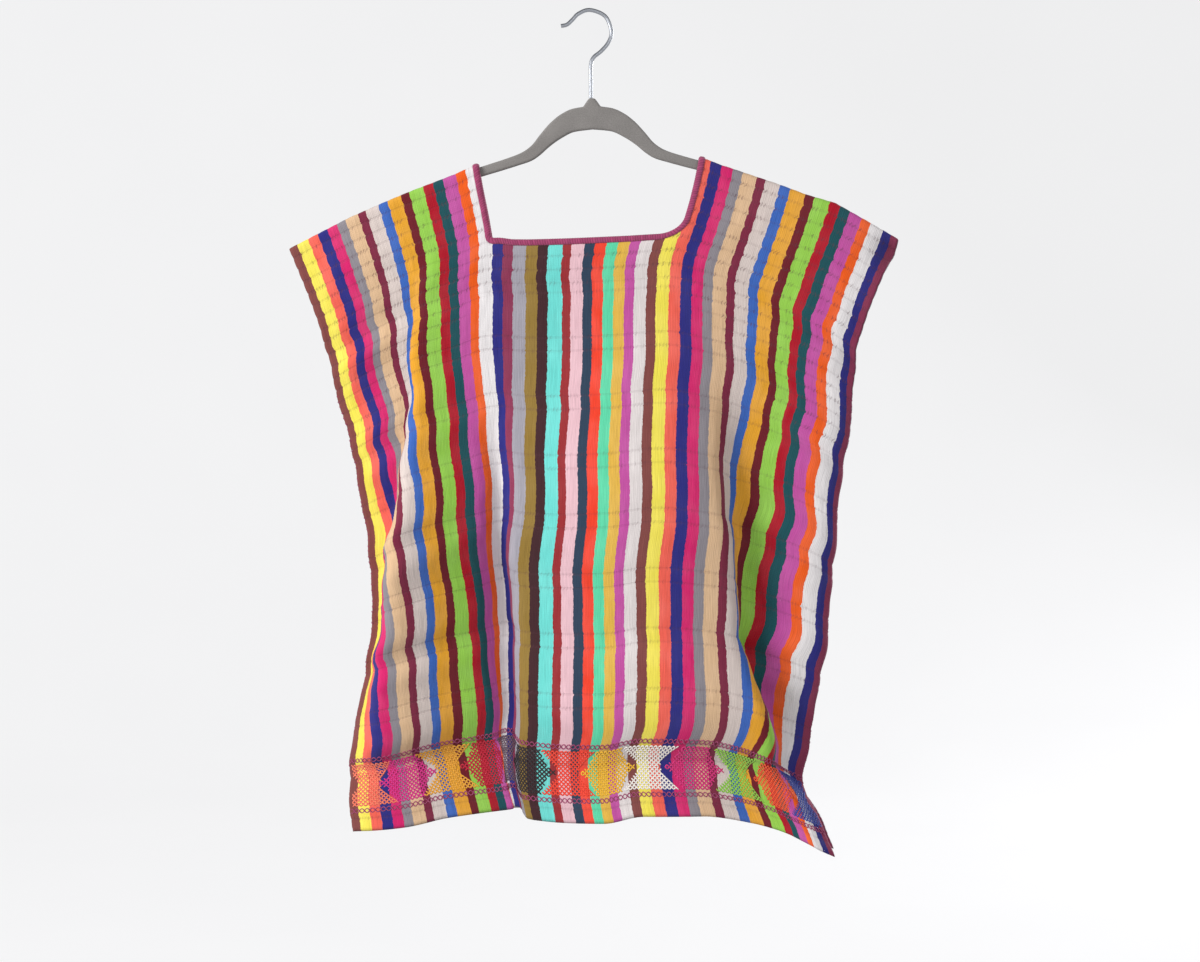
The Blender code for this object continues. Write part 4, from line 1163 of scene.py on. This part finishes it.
binding = yarn_piece("neck_binding_wrapped", [rope * MM], closed=True)
ring_of, side_of = np.divmod(np.arange(len(run) * len(section)), len(section))
slanted = run[ring_of] / WRAP_PITCH + WRAP_SLANT * side_of / len(OUTER_HALF)
add_map(binding, "wrap", slanted, side_of / len(section))
print("binding:", triangles(binding), "triangles")

# %% [markdown]
# ## Finish of the binding
#
# The wrapping yarn is matt cotton. Each stitch has a painted highlight along its crown and painted
# shade in the groove beside it, and the dye varies from stitch to stitch.

# %% Berry yarn
def berry_yarn(name, layer):
    recipe = Recipe(name, Roughness=0.85, Sheen_Weight=0.3, Sheen_Roughness=0.5,
                    Specular_IOR_Level=0.2)
    slanted, around = split_uv(recipe, layer)
    stitch = abs((slanted * pi).math("SINE"))
    dye = recipe.chance("1D", W=slanted.math("FLOOR")).between(0.0, 1.0, 0.88, 1.1)
    fluff = recipe.grain(slanted * 3.0, around * 9.0, 3.0)
    # painted highlight on each stitch's crown and painted shade in its groove, times the real dye and
    # fluff
    value = stitch.between(0.0, 0.7, 0.62, 1.08) * dye * fluff.spread(0.9, 1.08)
    return recipe.finished(recipe.shade(tint("a04068"), value), stitch + fluff * 0.4, 0.0004)


binding.data.materials.append(berry_yarn("berry_yarn", "wrap"))
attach(binding, "root")
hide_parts("neck_binding")
print("binding is finished")

# %% [markdown]
# ## Brocade threads
#
# The band above the hem is brocade: extra coloured weft is laid over the stripes in slanting
# floats that cross into a net, and the stripes show through its holes. One float is modelled as a
# small pointed bead, then laid along both diagonals of a fine net inside every motif.

# %% One float
FLOAT_LENGTH, FLOAT_WIDTH, FLOAT_HEIGHT = 4.3, 1.9, 0.9
start_alone()
bpy.ops.mesh.primitive_uv_sphere_add(segments=6, ring_count=3, radius=0.5)
bead = bpy.context.active_object
bpy.ops.object.mode_set(mode="EDIT")
bpy.ops.mesh.select_all(action="SELECT")
bpy.ops.transform.resize(value=(FLOAT_WIDTH, FLOAT_HEIGHT, FLOAT_LENGTH))
bpy.ops.object.mode_set(mode="OBJECT")
bead_points = np.array([tuple(v.co) for v in bead.data.vertices])[:, [0, 2, 1]]
bead_faces = [tuple(face.vertices)[::-1] for face in bead.data.polygons]
bpy.data.objects.remove(bead)
print("one float:", len(bead_faces), "faces")

# %% Motifs of the band
BAND_MIDDLE, BAND_HALF = 605.0, 24.0
NET_ROW, NET_COLUMN = 2.3, 4.6
NET_REACH, NET_INSET = 20, 3.5  # rows tried each way, and how far in the net stops
FLOAT_LIFT, FLOAT_CROSS = 0.28, 0.1  # the floats of one slant lie over those of the other
FLOAT_SLANT = radians(45)
Reach = namedtuple("Reach", "share half")
HOURGLASS = table(Reach, (0, 11.0), (0.2, 12.0), (1, 32.0))
DIAMOND = table(
    Reach, (0, 32.0), (0.05, 31.0), (0.15, 27.0), (0.25, 22.0), (0.42, 20.5), (1, 13.0),
)
Motif = namedtuple("Motif", "stripe shape colour")
# the motif at stripe 18 lies in the front's valley; its muted tint is partly its yarn's colour and partly
# painted shade
FRONT_MOTIFS = table(
    Motif, (2, HOURGLASS, "f47e62"), (6, DIAMOND, "d9308a"), (10, HOURGLASS, "eba93a"),
    (14, DIAMOND, "c01d38"), (18, HOURGLASS, "6b5264"), (22, DIAMOND, "2c2226"),
    (26, HOURGLASS, "f2452f"), (30, DIAMOND, "f0ba2e"), (34, HOURGLASS, "f6f0e8"),
    (38, DIAMOND, "d82f7c"), (42, HOURGLASS, "96cf4e"), (46, DIAMOND, "f0592c"),
    (50, HOURGLASS, "39479f"),
)
BACK_COLOURS = [
    "96cf4e", "eba93a", "d9308a", "39479f", "f2452f", "f6f0e8", "c01d38", "f0ba2e",
    "bf3f8c", "f47e62", "2c2226", "d82f7c", "eba93a",
]
BACK_MOTIFS = [Motif(m.stripe, m.shape, c) for m, c in zip(FRONT_MOTIFS, BACK_COLOURS)]


def net_places(motif, side):
    """Flat middles of the floats of one motif, each with the way it slants."""
    centre = float(across(motif.stripe))
    shares, halves = zip(*motif.shape)
    places = []
    for row in range(-NET_REACH, NET_REACH):
        up = (row + 0.5) * NET_ROW
        half = float(np.interp(abs(up) / BAND_HALF, shares, halves))
        for column in range(-NET_REACH, NET_REACH):
            flat = centre + column * NET_COLUMN / 2
            in_motif = abs(up) <= BAND_HALF and abs(flat - centre) <= half
            if in_motif and NET_INSET < flat < FINE_ACROSS[-1] - NET_INSET:
                places.append((flat, side * (BAND_MIDDLE + up), 1 if (row + column) % 2 else -1))
    return places


def lay_floats(name, motifs, side):
    """All floats of one side as one piece, each with its yarn's colour."""
    places, codes = [], []
    for motif in motifs:
        found = net_places(motif, side)
        places += found
        codes += [motif.colour] * len(found)
    places = np.array(places)
    turn = places[:, 2:3] * FLOAT_SLANT
    x = bead_points[:, 0] * np.cos(turn) + bead_points[:, 1] * np.sin(turn)
    y = bead_points[:, 1] * np.cos(turn) - bead_points[:, 0] * np.sin(turn)
    flat, place = places[:, :1] + x, places[:, 1:2] + y
    out = WALL / 2 + FLOAT_LIFT + FLOAT_CROSS * places[:, 2:3] + bead_points[:, 2]
    points = on_cloth(stripe_at(flat), place, out).reshape(-1, 3)
    count = len(bead_points)
    faces = [tuple(v + k * count for v in face) for k in range(len(places)) for face in bead_faces]
    piece = new_piece(name, points, faces)
    face_outwards(piece)
    yarn = piece.data.color_attributes.new(name="yarn", type="FLOAT_COLOR", domain="POINT")
    colours = np.array([tint(code) for code in codes])
    yarn.data.foreach_set("color", np.repeat(colours, count, axis=0).ravel())
    return piece


brocade_front = lay_floats("brocade_front", FRONT_MOTIFS, 1)
brocade_back = lay_floats("brocade_back", BACK_MOTIFS, -1)
print("brocade:", triangles(brocade_front), "triangles a side")

# %% [markdown]
# ## Finish of the brocade
#
# The floats are soft embroidery cotton, a little shinier than the ground. The yarn's colour comes
# from the piece itself, and fine noise over it keeps any two floats from looking alike.

# %% Brocade yarn
def spun_yarn(name, scale, darkest, lightest, code=None, **shader):
    """Cotton yarn of one tint, or else of the colours that the piece itself holds."""
    recipe = Recipe(name, Sheen_Weight=0.3, **shader)
    colour = tint(code) if code else recipe.add("Attribute", settings={"attribute_name": "yarn"})
    fluff = recipe.noise(recipe.place(), scale, 3.0)
    return recipe.finished(recipe.shade(colour, fluff.spread(darkest, lightest)), fluff, 0.0003)


brocade_finish = spun_yarn("brocade_yarn", 900.0, 0.86, 1.1, Roughness=0.7, Sheen_Roughness=0.4,
                           Specular_IOR_Level=0.3)
for piece in (brocade_front, brocade_back):
    piece.data.materials.append(brocade_finish)
    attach(piece, "root")
print("brocade is finished")

# %% [markdown]
# ## Borders of the band
#
# A pair of berry yarns runs along each edge of the band. They wave against each other and cross
# every few millimetres, which leaves a row of small eyes.

# %% Waving yarns
BORDER_WAVE, BORDER_PERIOD, BORDER_YARN = 2.3, 10.6, 0.5
BORDERS = [BAND_MIDDLE - BAND_HALF - 4.0, BAND_MIDDLE + BAND_HALF + 4.0]
BORDER_LIFT, BORDER_CROSS = 0.45, 0.3  # one yarn of a pair passes over the other
BORDER_INSET, BORDER_STEPS = 1.5, 620
ROUND = [2 * pi * k / 6 for k in range(6)]


def yarn_along(flat, place, out, radius):
    """Rings of a yarn that follows a line on the flat cloth."""
    step_x, step_y = np.gradient(flat), np.gradient(place)
    length = np.hypot(step_x, step_y)
    side_x, side_y = -step_y / length, step_x / length
    rings = []
    for angle in ROUND:
        aside, up = radius * cos(angle), radius * sin(angle)
        rings.append(on_cloth(stripe_at(flat + side_x * aside), place + side_y * aside, out + up))
    return np.stack(rings, axis=1)


def border_yarns(side):
    """Two yarns that wave against each other, along both edges of the band."""
    flat = np.linspace(BORDER_INSET, FINE_ACROSS[-1] - BORDER_INSET, BORDER_STEPS)
    bundles = []
    for middle in BORDERS:
        for hand in (1, -1):
            angle = 2 * pi * flat / BORDER_PERIOD
            place = side * middle + hand * BORDER_WAVE * np.sin(angle)
            out = WALL / 2 + BORDER_LIFT + hand * BORDER_CROSS * np.cos(angle)
            bundles.append(yarn_along(flat, place, out, BORDER_YARN))
    return bundles


borders = yarn_piece("band_borders", border_yarns(1) + border_yarns(-1))
print("borders:", triangles(borders), "triangles")

# %% [markdown]
# ## Joining stitches at the sides
#
# Between armhole and vent a berry thread is whipped over the two selvedges. One stitch is a small
# ring round both edges, a little uneven from one to the next as hand stitches are.

# %% Whip stitches
FIRST_STITCH, STITCH_PITCH, STITCH_REACH, STITCH_YARN = 2.0, 6.2, 3.0, 0.36
OVERHANG, OVERHANG_SHARE = 0.5, 0.6  # how far a stitch bows out past the edges
UNEVEN, SLANT, SLANT_CHANGE = 0.5, 1.1, 0.4  # no two hand stitches are quite alike
DROP_RHYTHM, SLANT_RHYTHM = 2.4, 1.7  # radians from one stitch to the next
LOOP_STEPS, YARN_SIDES = 12, 5


def stitch_loop(side, drop, slant):
    """One stitch: a closed loop of yarn over both selvedges."""
    edge = 0.0 if side == "left" else float(FINE_ACROSS[-1])
    inwards = 1 if side == "left" else -1
    loop = []
    for angle in np.linspace(0, 2 * pi, LOOP_STEPS, endpoint=False):
        into = STITCH_REACH * (0.5 - 0.5 * cos(angle)) - OVERHANG
        place = (drop + slant * sin(angle)) * (1 if sin(angle) >= 0 else -1)
        stripe = stripe_at(edge + inwards * max(into, 0))
        near, far = on_cloth(stripe, place) / MM, on_cloth(stripe, -place) / MM
        apart = np.linalg.norm(near - far)
        reach = (apart / 2 + WALL / 2 + STITCH_YARN) * abs(sin(angle))
        outwards = np.array([-inwards * max(-into, 0) * OVERHANG_SHARE, 0, 0])
        loop.append((near + far) / 2 + (near - far) / max(apart, TINY) * reach + outwards)
    return np.array(loop)


def ring_tube(loop):
    """A closed tube of yarn round a loop of places."""
    ahead = np.roll(loop, -1, axis=0) - np.roll(loop, 1, axis=0)
    ahead /= np.linalg.norm(ahead, axis=1, keepdims=True)
    aside = np.cross(ahead, loop - loop.mean(0))
    aside /= np.linalg.norm(aside, axis=1, keepdims=True)
    away = np.cross(aside, ahead)
    angles = 2 * pi * np.arange(YARN_SIDES) / YARN_SIDES
    return np.stack([loop + STITCH_YARN * (away * cos(a) + aside * sin(a)) for a in angles], axis=1)


loops = []
for side in ("left", "right"):
    for number, drop in enumerate(np.arange(ARMHOLE + FIRST_STITCH, HALF_LENGTH - VENT, STITCH_PITCH)):
        drop += UNEVEN * sin(number * DROP_RHYTHM)
        slant = SLANT + SLANT_CHANGE * sin(number * SLANT_RHYTHM)
        loops.append(stitch_loop(side, drop, slant))
stitches = yarn_piece("side_stitches", [ring_tube(loop) * MM for loop in loops], closed=True)
print("side stitches:", len(loops), "with", triangles(stitches), "triangles")

# %% Thread finish for borders and stitches
berry_thread = spun_yarn("berry_thread", 700.0, 0.78, 1.15, "a5446f", Roughness=0.82,
                         Sheen_Roughness=0.5, Specular_IOR_Level=0.2)
for piece in (borders, stitches):
    piece.data.materials.append(berry_thread)
    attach(piece, "root")
print("borders and stitches are finished")

# %% [markdown]
# ## The hanger
#
# The body is one flat outline with thickness and a round edge, so a filled curve does it: extrude
# gives half the thickness and bevel rolls the edge over. The hook is a wire along its own line. Both
# are made a mesh before they are turned upright.

# %% Plate and wire from curves
OUTLINE_STEPS, CORNER_STEPS, HOOK_STEPS = 90, 4, 10
ON_MIDDLE = 0.01  # points this near the middle line have no mirror image
DOUBLES = 0.00001
SMOOTH_ANGLE = radians(40)


def smooth_route(marks, steps):
    """A Catmull-Rom curve through a route's own points."""
    ends = [marks[0]] + list(marks) + [marks[-1]]
    route = []
    for a, b, c, d in zip(ends, ends[1:], ends[2:], ends[3:]):
        for t in np.arange(steps) / steps:
            weights = (
                -0.5 * t**3 + t**2 - 0.5 * t, 1.5 * t**3 - 2.5 * t**2 + 1,
                -1.5 * t**3 + 2 * t**2 + 0.5 * t, 0.5 * t**3 - 0.5 * t**2,
            )
            route.append(Edge(*(sum(w * p[k] for w, p in zip(weights, (a, b, c, d))) for k in (0, 1))))
    return route + [marks[-1]]


def curve_piece(name, marks, closed, **form):
    """A flat outline or a wire in the upright plane, made a mesh."""
    line = bpy.data.curves.new(name, "CURVE")
    line.dimensions = "2D" if closed else "3D"
    spline = line.splines.new("POLY")
    spline.points.add(len(marks) - 1)
    for point, edge in zip(spline.points, marks):
        point.co = (edge.x * MM, edge.z * MM, 0, 1)
    spline.use_cyclic_u = closed
    for key, value in form.items():
        setattr(line, key, value)
    thing = bpy.data.objects.new(name, line)
    bpy.context.scene.collection.objects.link(thing)
    start_alone(thing)
    bpy.ops.object.convert(target="MESH")
    thing.data.transform(Matrix.Rotation(pi / 2, 4, "X"))
    face_outwards(thing, merge=DOUBLES)
    return thing


arm = drawn(HANGER_TOP, HUB[-1].x, ARM_END, OUTLINE_STEPS)
bottom = drawn(HANGER_BOTTOM, HANGER_BOTTOM[0].x, 0, OUTLINE_STEPS)
tip = smooth_route(HANGER_TIP, CORNER_STEPS)
right_half = smooth_route(HUB, CORNER_STEPS)[:-1] + arm + tip[1:-1] + bottom
left_half = [Edge(-edge.x, edge.z) for edge in reversed(right_half) if edge.x > ON_MIDDLE]
outline = [rolled(edge) for edge in right_half + left_half]
hanger = curve_piece(
    "hanger_flocked", outline, True, fill_mode="BOTH", extrude=(PLATE / 2 - PLATE_ROUND) * MM,
    bevel_depth=PLATE_ROUND * MM, bevel_resolution=4, offset=-PLATE_ROUND * MM,
)
hook = curve_piece(
    "hanger_wire_hook", smooth_route(HOOK_ROUTE, HOOK_STEPS), False, bevel_depth=WIRE / 2 * MM,
    bevel_resolution=6, use_fill_caps=True,
)
for thing in (hanger, hook):
    start_alone(thing)
    bpy.ops.object.shade_smooth_by_angle(angle=SMOOTH_ANGLE)
print("hanger:", triangles(hanger), "hook:", triangles(hook), "triangles")

# %% [markdown]
# ## Flock and chrome
#
# Flock is a coat of short fibres: no shine, a pale bloom at grazing angles, and a fine speckle.
# Chrome is the opposite, so it is all metal with a low roughness that a faint haze lifts here and
# there.

# %% Hanger finishes
def grey_flock():
    recipe = Recipe("grey_flock", Roughness=0.95, Sheen_Weight=0.5, Sheen_Roughness=0.4,
                    Specular_IOR_Level=0.1)
    place = recipe.place()
    speckle = recipe.noise(place, 1100.0, 2.0, 0.7)
    value = speckle.spread(0.82, 1.15) * recipe.noise(place, 35.0).spread(0.94, 1.06)
    return recipe.finished(recipe.shade(tint("8a8683"), value), speckle, 0.0004, 0.6)


def chrome():
    recipe = Recipe("chrome_wire", Roughness=0.4, Metallic=1.0, Base_Color=tint("94979d"))
    haze = recipe.noise(recipe.place(), 160.0, 3.0)
    recipe.feed(recipe.shader.inputs["Roughness"], haze.between(0.35, 0.75, 0.34, 0.46))
    return recipe.material


for thing, finish, node, where in (
    (hanger, grey_flock(), "hanger_body", "flock"), (hook, chrome(), "hanger_hook", "wire"),
):
    thing.data.materials.clear()
    thing.data.materials.append(finish)
    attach(thing, "root")
    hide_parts(node)
print("hanger is finished")

# %% [markdown]
# ## What the cloth is
#
# The garment is one loom length, 600 by 1310 mm, less its neck hole.

# %% [markdown]
# ## Stage and light
#
# Everything stands in a wide pale bowl, so there is no corner or horizon from any side. A broad
# lamp from the left and front models the folds, a weak one on the right softens them, and one
# behind lights the back. An even pale sky fills the shadows, as in a bright room, and the bowl
# itself lets the sky's light through. The Standard view keeps dyed yarns as bright as they are in
# daylight, where Blender's default film look would fade them.

# %% Bowl
FLOOR_Z, FLOOR_RADIUS, BOWL_RADIUS, BOWL_CURVE, BOWL_TOP = -1.22, 1.3, 4.2, 1.6, 3.4
BOWL_SIDES = 64
profile = [(FLOOR_RADIUS, 0.0), (BOWL_RADIUS - BOWL_CURVE, 0.0)]
for degrees in range(6, 91, 6):
    angle = radians(degrees)
    profile.append((BOWL_RADIUS - BOWL_CURVE * (1 - sin(angle)), BOWL_CURVE * (1 - cos(angle))))
profile.append((BOWL_RADIUS, BOWL_TOP))
turns_round = [2 * pi * k / BOWL_SIDES for k in range(BOWL_SIDES)]
bowl_points = [(r * cos(a), r * sin(a), FLOOR_Z + z) for r, z in profile for a in turns_round]
bowl_faces = [list(range(BOWL_SIDES))] + tube_faces(len(profile), BOWL_SIDES, False).tolist()
bowl = new_piece("backdrop_bowl", bowl_points, bowl_faces)
paper = Recipe("pale_paper", Roughness=0.9, Specular_IOR_Level=0.1,
               Emission_Color=tint("ffffff"), Emission_Strength=0.74)
mottle = paper.noise(paper.place(), 3.0)
paper.feed(paper.shader.inputs["Base Color"], paper.mix(mottle, tint("77777a"), tint("7e7e80")))
bowl.data.materials.append(paper.material)
bowl.visible_diffuse = False
bowl.visible_shadow = False
print("bowl:", len(bowl_faces), "faces")

# %% Light
WORLD_STRENGTH, KEY_POWER, FILL_POWER, BACK_POWER = 0.4, 112.0, 18.0, 89.6
world = bpy.data.worlds.new("pale_room")
world.use_nodes = True
world.node_tree.nodes["Background"].inputs["Color"].default_value = tint("f4f5f8")
world.node_tree.nodes["Background"].inputs["Strength"].default_value = WORLD_STRENGTH
bpy.context.scene.world = world
bpy.context.scene.view_settings.view_transform = "Standard"


def soft_lamp(name, place, size, power):
    """A square lamp aimed at the middle of the blouse."""
    data = bpy.data.lights.new(name, "AREA")
    data.size, data.energy = size, power
    lamp = bpy.data.objects.new(name, data)
    lamp.location = place
    lamp.rotation_euler = (CAMERA_AIM - Vector(place)).to_track_quat("-Z", "Y").to_euler()
    bpy.context.scene.collection.objects.link(lamp)


soft_lamp("window", (-2.9, -2.0, 0.3), 1.3, KEY_POWER)
soft_lamp("room", (1.2, -2.6, 0.6), 1.6, FILL_POWER)
soft_lamp("window behind", (2.6, 2.3, 0.5), 1.6, BACK_POWER)
print("lamps set")

# %% [markdown]
# ## Last step
#
# The dressed part is meant to fill the same box as its solids, apart from the little that yarn stands
# proud. Here the bench is cleared and the scene brought up to date.

# %% Clear the bench
start_alone()
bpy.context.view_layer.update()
